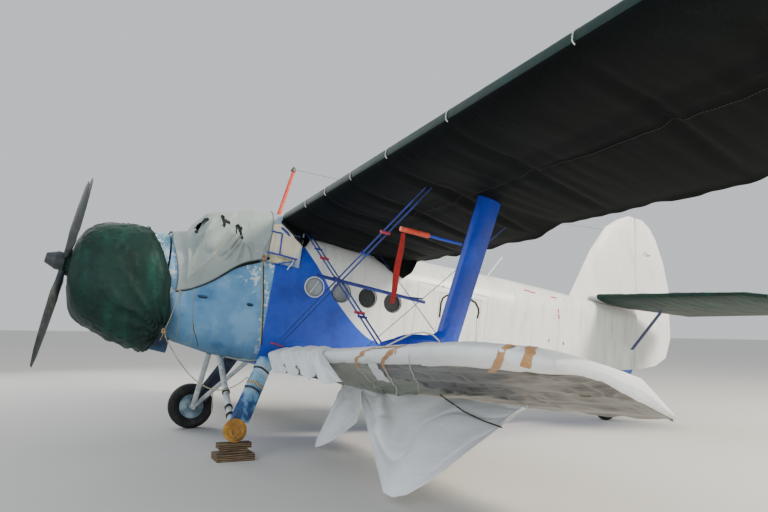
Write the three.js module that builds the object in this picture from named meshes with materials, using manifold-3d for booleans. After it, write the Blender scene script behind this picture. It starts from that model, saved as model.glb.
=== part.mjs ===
// A large single-engined biplane, parked on its gear under tied canvas covers, its left main wheel gone.
// Millimetres. World frame: +X to the left wing tip, +Y aft, +Z up, the ground at Z = 0.
// The airframe is laid out in its own level frame (x left, y aft of the propeller, z up from the
// thrust line), which then leans back on the tail wheel by GROUND_ANGLE.
import * as THREE from 'three';
import { mergeVertices } from 'three/addons/utils/BufferGeometryUtils.js';
import Module from 'manifold-3d';

const wasm = await Module();
wasm.setup();

// Driving dimensions
const GROUND_ANGLE = THREE.MathUtils.degToRad(8.71); // nose-up lean on the tail wheel
const NOSE_TO_ORIGIN = 6437.7;   // level frame's start to the middle of the whole length
const GAP = 0.5;                // left between touching pieces
const WALL = 40;                // cabin wall with its frames and lining
const ARC_STEPS = 5;            // facets in each rounded corner of a body section

const BODY_HALF = 880;          // cabin half-width
const COCKPIT_SILL = 520;       // height of the canopy's lower edge
const NOSE_START = 1780;        // firewall end of the nose panels
const NOSE_END = 3690;          // joint between cockpit and cabin panels
const TAIL_START = 7950;        // joint between cabin and tail panels

const UPPER_SPAN = 9090;        // half span of the upper wing
const LOWER_SPAN = 7100;        // half span of the lower wing
const STRUT_X = 4600;           // interplane struts
const HUB_Y = 380;              // propeller disc
const DISC_TILT = THREE.MathUtils.degToRad(4.2); // its top leans aft of the airframe's own upright
const BLADE_RADIUS = 1800;
const BLADE_PHASE = 58;         // degrees from upright, towards the left wing
const WHEEL_RADIUS = 400;
const WHEEL_WIDTH = 260;
const WHEEL_X = 1730;
const AXLE = { y: 2960, z: -1990 };
const TAIL_WHEEL_RADIUS = 235;
const TAIL_WHEEL_Y = 11170;
const WHEEL_SIDES = 32;
const TAIL_WHEEL_SIDES = 24;
const FIN_HINGE = { y: 11700, z: 1850, lean: -0.1176 }; // aft shift per mm of height
const HINGE_NOSE = 55;          // rounded nose of the rudder round its hinge
const HINGE_CLEAR = 9;          // room round that nose

const COLOURS = {
  white: 0xe4e3de, blue: 0x1f3fa8, paleBlue: 0x6f9ccb, canvas: 0x8f9794, green: 0x0d4036,
  black: 0x17201f, sheet: 0xdcdcd8, metal: 0x8d9196, rubber: 0x1b1b1c, orange: 0xc4452c,
  glass: 0x2a3136, wood: 0x7d6a50, rope: 0xa59a80, yellow: 0xb8862c, dark: 0x23282c, cream: 0xd8d2b8,
};

// World position of a point of the level frame
const SIN = Math.sin(GROUND_ANGLE);
const COS = Math.cos(GROUND_ANGLE);
const flatRadius = (radius, sides) => radius * Math.cos(Math.PI / sides); // a faceted wheel stands on a flat
const HUB_HEIGHT = flatRadius(WHEEL_RADIUS, WHEEL_SIDES);
const TAIL_HUB_HEIGHT = flatRadius(TAIL_WHEEL_RADIUS, TAIL_WHEEL_SIDES);
const DATUM_HEIGHT = HUB_HEIGHT - AXLE.z * COS + AXLE.y * SIN; // thrust line above the ground, at y = 0
const TAIL_WHEEL_Z = (TAIL_HUB_HEIGHT - DATUM_HEIGHT + TAIL_WHEEL_Y * SIN) / COS;
function worldOf(x, y, z) {
  return new THREE.Vector3(x, y * COS + z * SIN - NOSE_TO_ORIGIN, z * COS - y * SIN + DATUM_HEIGHT);
}

// Solids

function signedVolume(geometry) {
  const p = geometry.attributes.position;
  const index = geometry.index;
  const a = new THREE.Vector3();
  const b = new THREE.Vector3();
  const c = new THREE.Vector3();
  let volume = 0;
  for (let i = 0; i < index.count; i += 3) {
    a.fromBufferAttribute(p, index.getX(i));
    b.fromBufferAttribute(p, index.getX(i + 1));
    c.fromBufferAttribute(p, index.getX(i + 2));
    volume += a.dot(b.cross(c)) / 6;
  }
  return volume;
}

// A closed mesh with merged vertices, no flat triangles and its faces pointing out
function cleaned(geometry) {
  const plain = geometry.clone();
  plain.deleteAttribute('normal');
  plain.deleteAttribute('uv');
  const merged = mergeVertices(plain, 1e-3);
  const index = merged.index;
  const kept = [];
  for (let i = 0; i < index.count; i += 3) {
    const t = [index.getX(i), index.getX(i + 1), index.getX(i + 2)];
    if (t[0] !== t[1] && t[1] !== t[2] && t[2] !== t[0]) kept.push(...t);
  }
  merged.setIndex(kept);
  if (signedVolume(merged) < 0) {
    for (let i = 0; i < kept.length; i += 3) [kept[i], kept[i + 1]] = [kept[i + 1], kept[i]];
    merged.setIndex(kept);
  }
  return merged;
}

function solid(geometry) {
  const g = cleaned(geometry);
  return new wasm.Manifold(new wasm.Mesh({
    numProp: 3,
    vertProperties: new Float32Array(g.attributes.position.array),
    triVerts: new Uint32Array(g.index.array),
  }));
}

function geometryOf(manifold) {
  const mesh = manifold.getMesh();
  const n = mesh.numProp;
  const positions = new Float32Array((mesh.vertProperties.length / n) * 3);
  for (let i = 0; i < positions.length / 3; i += 1) {
    positions.set(mesh.vertProperties.subarray(i * n, i * n + 3), i * 3);
  }
  const geometry = new THREE.BufferGeometry();
  geometry.setAttribute('position', new THREE.BufferAttribute(positions, 3));
  geometry.setIndex(Array.from(mesh.triVerts));
  geometry.computeVertexNormals();
  return geometry;
}

// A closed skin through rings of equal point counts, each end closed by a fan
function loft(rings) {
  const n = rings[0].length;
  const positions = rings.flat(2);
  const index = [];
  for (let i = 0; i < rings.length - 1; i += 1) {
    for (let j = 0; j < n; j += 1) {
      const a = i * n + j;
      const b = i * n + ((j + 1) % n);
      index.push(a, b, b + n, a, b + n, a + n);
    }
  }
  [0, rings.length - 1].forEach((r, end) => {
    const middle = [0, 1, 2].map((k) => rings[r].reduce((sum, p) => sum + p[k], 0) / n);
    const hub = positions.length / 3;
    positions.push(...middle);
    for (let j = 0; j < n; j += 1) {
      const a = r * n + j;
      const b = r * n + ((j + 1) % n);
      index.push(...(end ? [a, b, hub] : [b, a, hub]));
    }
  });
  const geometry = new THREE.BufferGeometry();
  geometry.setAttribute('position', new THREE.Float32BufferAttribute(positions, 3));
  geometry.setIndex(index);
  return solid(geometry);
}

// A block between two corners
function block(low, high) {
  const size = low.map((v, i) => high[i] - v);
  const geometry = new THREE.BoxGeometry(...size);
  geometry.translate(...low.map((v, i) => (v + high[i]) / 2));
  return solid(geometry);
}

// A round bar from a to b
function rod(a, b, radius, sides = 8, endRadius = radius) {
  const from = new THREE.Vector3(...a);
  const to = new THREE.Vector3(...b);
  const along = to.clone().sub(from);
  const geometry = new THREE.CylinderGeometry(endRadius, radius, along.length(), sides);
  const turn = new THREE.Quaternion().setFromUnitVectors(new THREE.Vector3(0, 1, 0), along.clone().normalize());
  geometry.applyQuaternion(turn);
  geometry.translate(...from.add(to).multiplyScalar(0.5).toArray());
  return solid(geometry);
}

// A turned piece round the x axis, from a closed profile of [radius, x]
function turnedOnX(profile, sides, centre, spin = 0) {
  const geometry = new THREE.LatheGeometry(profile.map(([r, x]) => new THREE.Vector2(r, x)), sides);
  geometry.rotateY(spin);
  geometry.rotateZ(-Math.PI / 2);
  geometry.translate(...centre);
  return solid(geometry);
}

// A turned piece round the y axis of the level frame
function turnedOnY(profile, sides) {
  return solid(new THREE.LatheGeometry(profile.map(([r, y]) => new THREE.Vector2(r, y)), sides));
}

// An outline in the y-z plane, pushed across from x = from to x = to
function sideSlab(outline, from, to) {
  const shape = new THREE.Shape(outline.map(([y, z]) => new THREE.Vector2(y, z)));
  const geometry = new THREE.ExtrudeGeometry(shape, { depth: to - from, bevelEnabled: false });
  geometry.applyMatrix4(new THREE.Matrix4().makeBasis(
    new THREE.Vector3(0, 1, 0), new THREE.Vector3(0, 0, 1), new THREE.Vector3(1, 0, 0)));
  geometry.translate(from, 0, 0);
  return solid(geometry);
}

// A faired bar with a teardrop section, level at both ends, from bottom to top
function vane(bottom, top, chord, thickness, topChord = chord) {
  return loft([[bottom, chord], [top, topChord]].map(([[x, y, z], c]) => {
    const t = (thickness / 2) * (c / chord);
    return [
      [x, y - c * 0.42, z], [x + t * 0.75, y - c * 0.3, z], [x + t, y - c * 0.1, z],
      [x + t * 0.7, y + c * 0.25, z], [x, y + c * 0.58, z], [x - t * 0.7, y + c * 0.25, z],
      [x - t, y - c * 0.1, z], [x - t * 0.75, y - c * 0.3, z],
    ];
  }));
}

const joined = (...parts) => parts.reduce((sum, part) => sum.add(part));
const mirrored = (part) => part.mirror([1, 0, 0]);

// Sections

// A rounded body section at station y
function bodyRing([y, half, top, bottom, topRadius, bottomRadius], inset = 0) {
  const w = half - inset;
  const t = top - inset;
  const b = bottom + inset;
  const rt = Math.max(topRadius - inset, 10);
  const rb = Math.max(bottomRadius - inset, 10);
  const corners = [[w - rt, t - rt, rt], [rt - w, t - rt, rt], [rb - w, b + rb, rb], [w - rb, b + rb, rb]];
  return corners.flatMap(([cx, cz, r], quarter) => Array.from({ length: ARC_STEPS + 1 }, (_, k) => {
    const angle = (quarter + k / ARC_STEPS) * (Math.PI / 2);
    return [cx + r * Math.cos(angle), y, cz + r * Math.sin(angle)];
  }));
}
const body = (stations, inset = 0) => loft(stations.map((s) => bodyRing(s, inset)));
const moved = ([y, ...rest], by) => [y + by, ...rest];

// The room that a body takes, with a little to spare all round and at both ends
const roomOf = (stations, spare) => body([moved(stations[0], -spare), ...stations,
  moved(stations[stations.length - 1], spare)], -spare);

// A wing section across x. The flap, if it droops, bends the last part of the chord down.
const CHORD_STEPS = [0, 0.03, 0.1, 0.25, 0.45, 0.7, 0.85, 1];
const FLAP_START = 0.7;
function foilRing(station, grow = 0) {
  const { x, lead, trail, z, fall = 0, droop = 0, thick, camber = 0 } = station;
  const chord = trail - lead;
  const point = (f, side) => {
    const half = 5 * thick * (0.2969 * Math.sqrt(f) - 0.126 * f - 0.3516 * f ** 2 + 0.2843 * f ** 3 - 0.1015 * f ** 4);
    const bend = droop * Math.max(0, (f - FLAP_START) / (1 - FLAP_START));
    const mid = z - fall * f + camber * 4 * f * (1 - f) - bend;
    return [x, lead - grow + f * (chord + 2 * grow), mid + side * (Math.max(half, 6) + grow)];
  };
  return [...CHORD_STEPS.map((f) => point(f, 1)).reverse(), ...CHORD_STEPS.map((f) => point(f, -1))];
}
const foil = (stations, grow = 0) => loft(stations.map((s) => foilRing(s, grow)));

// Fuselage stations: y, half width, top, bottom, radius of the top corners, radius of the bottom corners
const NOSE = [
  [NOSE_START, 745, 770, -800, 740, 700],
  [2140, 810, 835, -900, 600, 480],
  [2800, 868, 1180, -1010, 590, 340],
  [NOSE_END, BODY_HALF, 1200, -1085, 560, 300],
];
const CABIN = [
  [NOSE_END + GAP, BODY_HALF, 1200, -1085, 560, 300],
  [6100, BODY_HALF, 1190, -1080, 560, 300],
  [TAIL_START, 868, 1235, -1040, 560, 320],
];
const TAIL = [
  [TAIL_START + GAP, 868, 1235, -1040, 560, 320],
  [9000, 700, 1250, -778, 480, 290],
  [10000, 510, 1250, -529, 370, 250],
  [11000, 320, 1250, -280, 240, 170],
  [11640, 190, 1250, -120, 150, 110],
];
// Canopy stations, same columns: it closes on the sill and swells over the cabin sides
const CANOPY = [
  [2150, 800, 850, COCKPIT_SILL, 330, 12],
  [2250, 838, 1030, COCKPIT_SILL, 330, 12],
  [2420, 880, 1190, COCKPIT_SILL, 330, 12],
  [2820, 925, 1305, COCKPIT_SILL, 330, 12],
  [3190, 935, 1345, COCKPIT_SILL, 330, 12],
  [NOSE_END, 925, 1345, COCKPIT_SILL, 330, 12],
];
const ENGINE_COVER = [
  [470, 330, 330, -360, 320, 320],
  [560, 500, 500, -650, 490, 480],
  [720, 650, 640, -820, 620, 560],
  [900, 735, 712, -900, 690, 600],
  [1300, 795, 768, -1050, 740, 600],
  [1920, 812, 800, -1140, 740, 560],
];

// Wing stations by span: x, trailing edge y, droop of the rear third, thickness, then what the
// leading edge is set back and sunk by near the tip
const UPPER_LEAD = 3340;
const upperZ = (x) => 1250 + x * Math.tan(THREE.MathUtils.degToRad(2.97));
const UPPER = [
  { x: 800, trail: 5750, droop: 160, thick: 350 },
  { x: 3500, trail: 5750, droop: 275, thick: 345 },
  { x: 4250, trail: 5750, droop: 270, thick: 345 },
  { x: 4600, trail: 5750, droop: 200, thick: 345 },
  { x: 7000, trail: 5750, droop: 280, thick: 335 },
  { x: 8300, trail: 5740, droop: 280, thick: 320 },
  { x: 8800, trail: 5600, droop: 200, thick: 250, inset: 90 },
  { x: UPPER_SPAN - 45, trail: 5300, droop: 110, thick: 130, inset: 330 },
].map(({ x, trail, droop, thick, inset = 0 }) => ({
  x, trail, droop, thick, lead: UPPER_LEAD + inset, z: upperZ(x), fall: 40, camber: 55,
}));
const LOWER_LEAD = 3550;
const lowerZ = (x) => -975 + x * Math.tan(THREE.MathUtils.degToRad(3.05));
const LOWER = [
  { x: 885, trail: 5560, droop: 140, thick: 270 },
  { x: 2600, trail: 5560, droop: 225, thick: 265 },
  { x: 4700, trail: 5560, droop: 225, thick: 250 },
  { x: 6100, trail: 5550, droop: 220, thick: 225 },
  { x: 6750, trail: 5440, droop: 205, thick: 165, inset: 90, sink: 25 },
  { x: LOWER_SPAN - 40, trail: 5150, droop: 170, thick: 90, inset: 330, sink: 70 },
].map(({ x, trail, droop, thick, inset = 0, sink = 0 }) => ({
  x, trail, droop, thick, lead: LOWER_LEAD + inset, z: lowerZ(x) - sink, fall: 90, camber: 24,
}));
const TAILPLANE = [
  { x: 95, lead: 10345, trail: 11700, thick: 160 },
  { x: 300, lead: 10370, trail: 11750, thick: 160 },
  { x: 640, lead: 10415, trail: 12640, thick: 155 },
  { x: 2700, lead: 10690, trail: 12620, thick: 120 },
  { x: 3350, lead: 10800, trail: 12450, thick: 95 },
  { x: 3590, lead: 11050, trail: 12100, thick: 60 },
].map((s) => ({ ...s, z: 1350, fall: 20 }));

const CLOTH_GAP = 4;
const CLOTH_SKIN = 16;
const atX = (station, x) => ({ ...station, x });
function sectionAt(stations, x) {
  const [a, b] = stations;
  const f = (x - a.x) / (b.x - a.x);
  return Object.fromEntries(Object.keys(a).map((k) => [k, a[k] + (b[k] - a[k]) * f]));
}
function stretched(stations, from, tip) {
  const last = stations[stations.length - 1];
  return [sectionAt(stations, from), ...stations.slice(1), atX(last, last.x + tip)];
}

// Fuselage pieces

const noseOuter = body(NOSE);
const cabinOuter = body(CABIN);
const tailOuter = body(TAIL);
const canopyOuter = body(CANOPY);

// The inside of a body, running out through its open ends
function cavity(stations, wall, openFront = true, openRear = true) {
  const first = stations[0];
  const last = stations[stations.length - 1];
  const front = openFront ? [moved(first, -50), first] : [moved(first, wall)];
  const rear = openRear ? [last, moved(last, 50)] : [moved(last, -wall)];
  return body([...front, ...stations.slice(1, -1), ...rear], wall);
}

const overCanopy = block([-1200, 2150 - GAP, COCKPIT_SILL - GAP], [1200, NOSE_END + 50, 1700]);
function forwardFuselage() {
  return noseOuter.subtract(cavity(NOSE, WALL, false)).subtract(overCanopy);
}

const openBelow = CANOPY.map((s) => s.with(3, COCKPIT_SILL - 200));
// Canopy windows: y range and z range on each side, then x range in front
const SIDE_PANES = [[2330, 2690], [2750, 3150], [3220, 3620]];
const FRONT_PANES = [[-760, -290], [-240, 240], [290, 760]];
function canopyFrame() {
  let frame = canopyOuter.subtract(cavity(openBelow, 30, false));
  for (const [from, to] of SIDE_PANES) {
    frame = frame.subtract(block([-1200, from, 600], [1200, to, from < 2400 ? 900 : 1010]));
  }
  for (const [from, to] of FRONT_PANES) {
    frame = frame.subtract(block([from, 2100, 930], [to, 2500, 1120]));
  }
  return frame.subtract(wingRoots);
}
function canopyGlazing() {
  const set = (back) => [moved(openBelow[0], back), ...openBelow.slice(1)];
  const skin = body(set(45), 31);
  const room = body([...set(55), moved(openBelow[5], 50)], 38);
  const low = block([-1200, 2000, 200], [1200, NOSE_END + 60, COCKPIT_SILL + 35]);
  return skin.subtract(room).subtract(low).subtract(wingRoots).subtract(
    block([-1200, NOSE_END - 12, 0], [1200, NOSE_END + 60, 1700]));
}

// Round cabin windows, and the doors on the left side, with their running gap
const WINDOW_RADIUS = 155;
const WINDOW_Z = 280;
const WINDOWS = [4020, 4490, 4970, 5440];
const DOOR_GAP = 7;
const CARGO = { from: 5880, to: 7340, low: -790, high: 740 };
const ENTRY = { from: 6330, to: 7200, low: -760, high: 650 };
const panel = (d, shrink, x0 = 700, x1 = 1000) => block(
  [x0, d.from + shrink, d.low + shrink], [x1, d.to - shrink, d.high - shrink]);

function cabinFuselage() {
  const bulkhead = body([moved(CABIN[2], -30), moved(CABIN[2], -4)], WALL / 2);
  let shell = cabinOuter.subtract(cavity(CABIN, WALL)).add(bulkhead).subtract(panel(CARGO, 0));
  for (const y of WINDOWS) {
    shell = shell.subtract(rod([-1000, y, WINDOW_Z], [1000, y, WINDOW_Z], WINDOW_RADIUS, 20));
  }
  return shell;
}
const doorSkin = cabinOuter.subtract(cavity(CABIN, WALL));
const cargoDoor = () => doorSkin.intersect(panel(CARGO, DOOR_GAP)).subtract(panel(ENTRY, 0));
const entryDoor = () => doorSkin.intersect(panel(ENTRY, DOOR_GAP));

function cabinWindows(side) {
  const [a, b] = [BODY_HALF - WALL - 8, BODY_HALF - WALL - GAP];
  const low = [side > 0 ? a : -b, WINDOWS[0] - 190, WINDOW_Z - 190];
  const high = [side > 0 ? b : -a, WINDOWS[3] + 190, WINDOW_Z + 190];
  return block(low, high);
}

// Wings, their covers and the struts between them

// Each wing from root to tip, the right one from its own mirrored stations
const wingOn = (stations, side) => foil(stations.map((s) => atX(s, side * s.x)));
const upperCoverOuter = foil(stretched(UPPER, 790, 30), CLOTH_GAP + CLOTH_SKIN);
const lowerCoverOuter = foil(stretched(LOWER, 900, 34), CLOTH_GAP + CLOTH_SKIN);
const keepOut = (stations, grow) => foil(stretched(stations, stations[0].x - 30, 40), grow);
const centreFoil = (half, grow) => foil([atX(UPPER[0], -half), atX(UPPER[0], half)], grow);
const upperKeepOut = keepOut(UPPER, CLOTH_GAP + CLOTH_SKIN + 1);
const lowerKeepOut = keepOut(LOWER, CLOTH_GAP + CLOTH_SKIN + 1);

const wingRoots = joined(upperKeepOut, mirrored(upperKeepOut), centreFoil(810, 1));
const upperCentre = () => centreFoil(UPPER[0].x - GAP, 0).subtract(roomOf(CABIN, 1));

const STRUT = { foot: [STRUT_X, 4300, -700], head: [STRUT_X, 4690, 1330], chord: 300, topChord: 330, thick: 112 };
function strutSolid(grow = 0) {
  const upright = vane(STRUT.foot, STRUT.head, STRUT.chord + 2 * grow, STRUT.thick + 2 * grow, STRUT.topChord + 2 * grow);
  const fairing = loft([
    [3560, 4, 10], [3700, 70, 70], [3950, 95, 125], [4430, 80, 120], [4560, 40, 60],
  ].map(([y, half, tall], i) => {
    const w = half + grow;
    const base = lowerZ(STRUT_X) + 40 - grow;
    const top = base + 70 + tall + 2 * grow;
    const at = y + (i === 0 ? -grow : 0) + (i === 4 ? grow : 0);
    return [[STRUT_X + w, at, base], [STRUT_X + w * 0.75, at, top - tall * 0.35], [STRUT_X, at, top],
      [STRUT_X - w * 0.75, at, top - tall * 0.35], [STRUT_X - w, at, base]];
  }));
  return upright.add(fairing);
}
const strutLeft = strutSolid().subtract(foil(LOWER, 0.6)).subtract(foil(UPPER, 0.6));
const strutRoom = strutSolid(5);

const sleeve = (outer, stations, from, rootCut) => outer
  .subtract(foil(stretched(stations, from, 12), CLOTH_GAP)).subtract(strutRoom).subtract(rootCut);

// Gear: a faired leg, a V of two tubes to the fuselage, and the stub axle with its brake flange
const LEG = { top: [1010, 3400, -930], bottom: [1515, 3005, -1885] };
const FLANGE_X = 1640;
const FLANGE_RADIUS = 165;
function gearBrace(withFlange) {
  const end = [1500, AXLE.y, AXLE.z];
  const stub = rod([1440, AXLE.y, AXLE.z], [withFlange ? 1760 : 1800, AXLE.y, AXLE.z], 42, 16);
  let brace = joined(
    rod([390, 2830, -1000], end, 46, 10), rod([390, 3500, -1040], end, 40, 10), stub);
  if (withFlange) {
    brace = joined(brace, rod([FLANGE_X - 25, AXLE.y, AXLE.z], [FLANGE_X + 25, AXLE.y, AXLE.z], FLANGE_RADIUS, 20),
      rod([1700, AXLE.y, AXLE.z], [1730, AXLE.y, AXLE.z], 105, 16));
  }
  return brace.subtract(roomOf(NOSE, 1));
}
function gearLeg() {
  const leg = vane(LEG.bottom, LEG.top, 290, 130, 260);
  const boot = rod([1505, AXLE.y + 12, AXLE.z - 20], [1515, 3000, -1840], 66, 12);
  const end = [1500, AXLE.y, AXLE.z];
  const braceRoom = joined(rod([390, 2830, -1000], end, 48, 10), rod([390, 3500, -1040], end, 42, 10),
    rod([1430, AXLE.y, AXLE.z], [1820, AXLE.y, AXLE.z], 44, 16));
  return joined(leg, boot).subtract(lowerKeepOut).subtract(roomOf(NOSE, 1)).subtract(roomOf(CABIN, 1))
    .subtract(braceRoom);
}

// A wheel round x: tyre, rim and a bore that runs on the axle with 5 mm of room
function wheelProfile(radius, width, bore) {
  const w = width / 2;
  return [
    [bore, -w * 0.72], [radius * 0.5, -w * 0.72], [radius * 0.56, -w * 0.62], [radius * 0.62, -w * 0.86],
    [radius * 0.8, -w], [radius * 0.94, -w * 0.78], [radius, -w * 0.38], [radius, w * 0.38],
    [radius * 0.94, w * 0.78], [radius * 0.8, w], [radius * 0.62, w * 0.86], [radius * 0.56, w * 0.62],
    [radius * 0.5, w * 0.72], [bore, w * 0.72], [bore, -w * 0.72],
  ];
}

// Bracing: round bars in the wing bay, joined by their spreaders
const WIRE = 5.5;
const bayWire = (a, b, radius = WIRE) => rod(a, b, radius, 6);
function bracing() {
  const flyTop = [4330, 4020, 1300];
  const flyRoot = [960, 3440, -880];
  const landTop = [900, 3900, 1120];
  const landFoot = [4430, 3840, -660];
  const between = (a, b, f) => a.map((v, i) => v + (b[i] - v) * f);
  const beside = (p, dy) => [p[0], p[1] + dy, p[2]];
  const rearTop = [4330, 5395, 1327];
  const rearRoot = [960, 4700, -900];
  const rearLandTop = [900, 5000, 1080];
  const rearLandFoot = [4430, 4700, -720];
  const parts = [];
  for (const dy of [-35, 35]) {
    parts.push(bayWire(beside(flyRoot, dy), beside(flyTop, dy)));
    parts.push(bayWire(beside(landTop, dy - 160), beside(landFoot, dy - 160)));
  }
  parts.push(bayWire(rearRoot, rearTop), bayWire(rearLandTop, rearLandFoot));
  const spreader = (p, half) => rod(beside(p, -half), beside(p, half), 14, 8);
  parts.push(spreader(between(flyRoot, flyTop, 0.66), 60));
  parts.push(spreader(beside(between(landTop, landFoot, 0.2), -160), 60));
  parts.push(spreader(beside(between(landTop, landFoot, 0.8), -160), 60));
  const front = between(flyRoot, flyTop, 0.5);
  const rear = between(rearRoot, rearTop, 0.5);
  const bar = rod([front[0], front[1] - 330, front[2] + 20], [rear[0], rear[1] + 40, rear[2] - 45], 24, 10);
  const cross = (a, b) => rod(a, b, 10, 6);
  parts.push(bar);
  parts.push(cross(beside(between(landTop, landFoot, 0.47), -200), beside(between(flyRoot, flyTop, 0.5), 60)));
  parts.push(cross(between(rearLandTop, rearLandFoot, 0.49), between(rearRoot, rearTop, 0.5)));
  parts.push(cross(beside(between(landTop, landFoot, 0.49), -200), [front[0], front[1] - 100, front[2] + 10]));
  return joined(...parts).subtract(upperKeepOut).subtract(lowerKeepOut).subtract(roomOf(CABIN, 2))
    .subtract(roomOf(NOSE, 2)).subtract(strutSolid(2));
}

// Tail surfaces: rows of height, front edge, rear edge, half thickness
const hingeAt = (z) => FIN_HINGE.y + (z - FIN_HINGE.z) * FIN_HINGE.lean;
const FIN_ROWS = [
  [1252, 9870, 88], [1500, 9972, 84], [2360, 10320, 66], [2960, 10680, 50], [3200, 10985, 40], [3345, 11280, 26],
];
function finSolid() {
  return loft(FIN_ROWS.map(([z, lead, half]) => {
    const rear = hingeAt(z) - HINGE_NOSE - HINGE_CLEAR;
    const chord = rear - lead;
    const t = Math.min(half, HINGE_NOSE);
    return [[rear, t], [lead + chord * 0.55, half], [lead + chord * 0.25, half * 0.85], [lead + chord * 0.06, half * 0.45],
      [lead, 0], [lead + chord * 0.06, -half * 0.45], [lead + chord * 0.25, -half * 0.85],
      [lead + chord * 0.55, -half], [rear, -t]].map(([y, x]) => [x, y, z]);
  }));
}
const RUDDER_ROWS = [
  [60, 12050, 50], [190, 12480, 52], [410, 12780, 54], [850, 12870, 55], [1950, 12690, 52],
  [2480, 12480, 46], [3000, 12170, 36], [3220, 11960, 30], [3345, 11720, 26],
];
function rudderSolid() {
  return loft(RUDDER_ROWS.map(([z, trail, half]) => {
    const y = hingeAt(z);
    const r = Math.min(HINGE_NOSE, half);
    return [[trail, 8], [y, r], [y - r * 0.71, r * 0.71], [y - r, 0], [y - r * 0.71, -r * 0.71], [y, -r],
      [trail, -8]].map(([py, x]) => [x, py, z]);
  }));
}

// The pushed-out stern post under the fin stops short of the rudder's nose
const tailFuselage = () => tailOuter.subtract(cavity(TAIL.slice(0, 4), 30));

// A cloth panel: a flat outline of corners, given a thickness across it
function clothPanel(corners, thickness) {
  const points = corners.map((c) => new THREE.Vector3(...c));
  const across = points[1].clone().sub(points[0]).cross(points[2].clone().sub(points[0])).normalize()
    .multiplyScalar(thickness / 2);
  const ring = (sign) => points.map((p) => p.clone().addScaledVector(across, sign).toArray());
  return loft([ring(1), ring(-1)]);
}

const meshes = [];
function piece(name, part, colour, roughness = 0.6, metalness = 0) {
  const material = new THREE.MeshStandardMaterial({ color: COLOURS[colour], roughness, metalness });
  const mesh = new THREE.Mesh(geometryOf(part), material);
  mesh.name = name;
  meshes.push(mesh);
  return mesh;
}

const part = new THREE.Group();
const level = new THREE.Group();
level.rotation.x = -GROUND_ANGLE;
level.position.set(0, -NOSE_TO_ORIGIN, DATUM_HEIGHT);
part.add(level);

// Engine, cowling and propeller
const COWL = [[470, 640], [560, 690], [672, 900], [722, 1300], [738, 1750]];
const cowlProfile = [...COWL, ...COWL.map(([r, y]) => [r - 22, y]).reverse(), COWL[0]];
level.add(piece('engine_block', rod([0, 700, 0], [0, 1400, 0], 420, 18), 'dark', 0.5, 0.6));
level.add(piece('cowling', turnedOnY(cowlProfile, 32), 'white'));
const coverRoom = body(ENGINE_COVER.map(([y, ...rest], i) => [i ? y + (i === 5 ? 30 : 0) : y + 14, ...rest]), 14);
const scoopRaw = body([
  [1180, 150, -600, -900, 60, 120], [1500, 240, -600, -1060, 60, 140], [2050, 250, -600, -1105, 60, 140],
]);
const scoop = scoopRaw.subtract(solid(new THREE.LatheGeometry(
  [[0, 600], [700, 600], [739, 1751], [739, 1780], [0, 1780]].map(([r, y]) => new THREE.Vector2(r, y)), 32)))
  .subtract(roomOf(NOSE, 1));
level.add(piece('oil_cooler_scoop', scoop, 'paleBlue'));
const coverCut = sideSlab([[1420, 900], [1420, 720], [1800, 20], [1815, -200], [1925, -560], [2200, -560], [2200, 900]],
  -1000, 1000);
const engineCover = body(ENGINE_COVER).subtract(coverRoom).subtract(coverCut)
  .subtract(rod([0, 400, 0], [0, 560, 0], 170, 16));
level.add(piece('engine_cover', engineCover, 'green', 0.9));

function propeller() {
  const hub = (from, to) => [[0, HUB_Y + from, 0], [0, HUB_Y + to, 0]];
  let prop = rod(...hub(-200, 300), 70, 16).add(rod(...hub(-130, 120), 140, 16));
  prop = prop.add(rod(...hub(-270, -130), 75, 16, 130));
  for (let i = 0; i < 4; i += 1) {
    const angle = THREE.MathUtils.degToRad(BLADE_PHASE + 90 * i);
    // radius, chord, thickness, twist in degrees
    const rows = [[60, 100, 100, 60], [330, 110, 90, 50], [620, 210, 46, 38], [1150, 240, 30, 26],
      [1600, 200, 20, 20], [BLADE_RADIUS, 90, 10, 18]];
    const blade = loft(rows.map(([r, chord, thick, twist]) => {
      const turn = THREE.MathUtils.degToRad(twist);
      return Array.from({ length: 8 }, (_, k) => {
        const a = (k / 8) * Math.PI * 2;
        const u = (chord / 2) * Math.cos(a);
        const v = (thick / 2) * Math.sin(a);
        const across = u * Math.cos(turn) - v * Math.sin(turn);
        const aft = u * Math.sin(turn) + v * Math.cos(turn);
        return [r * Math.sin(angle) + across * Math.cos(angle), HUB_Y + aft,
          r * Math.cos(angle) - across * Math.sin(angle)];
      });
    }));
    prop = prop.add(blade);
  }
  return prop.translate([0, -HUB_Y, 0]).rotate([-THREE.MathUtils.radToDeg(DISC_TILT), 0, 0])
    .translate([0, HUB_Y, 0]);
}
level.add(piece('propeller', propeller(), 'dark', 0.4));

// Fuselage
level.add(piece('forward_fuselage', forwardFuselage(), 'paleBlue'));
level.add(piece('canopy_frame', canopyFrame(), 'blue'));
level.add(piece('canopy_glazing', canopyGlazing(), 'glass', 0.1));
const hem = sideSlab([[1900, -1300], [1900, -190], [1985, -165], [2150, -100], [2405, 70], [2770, 390],
  [3090, 545], [3240, 620], [3240, 2000], [4200, 2000], [4200, -1300]], -1200, 1200);
const canvas = body([[1930, ...NOSE[0].slice(1)], ...NOSE.slice(1)], -24).add(body(CANOPY, -28))
  .subtract(roomOf(NOSE, 6)).subtract(roomOf(CANOPY, 6)).subtract(hem)
  .subtract(block([-1200, 1700, -1300], [1200, 1930, 1500]));
level.add(piece('cockpit_cover', canvas, 'canvas', 0.95));
level.add(piece('cabin_fuselage', cabinFuselage(), 'white'));
const floorRoom = joined(cavity(NOSE, WALL + 2, false), cavity(CABIN, WALL + 2));
level.add(piece('cabin_floor', block([-790, NOSE_START + 300, -800], [790, TAIL_START - 60, -770])
  .intersect(floorRoom), 'metal'));
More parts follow.
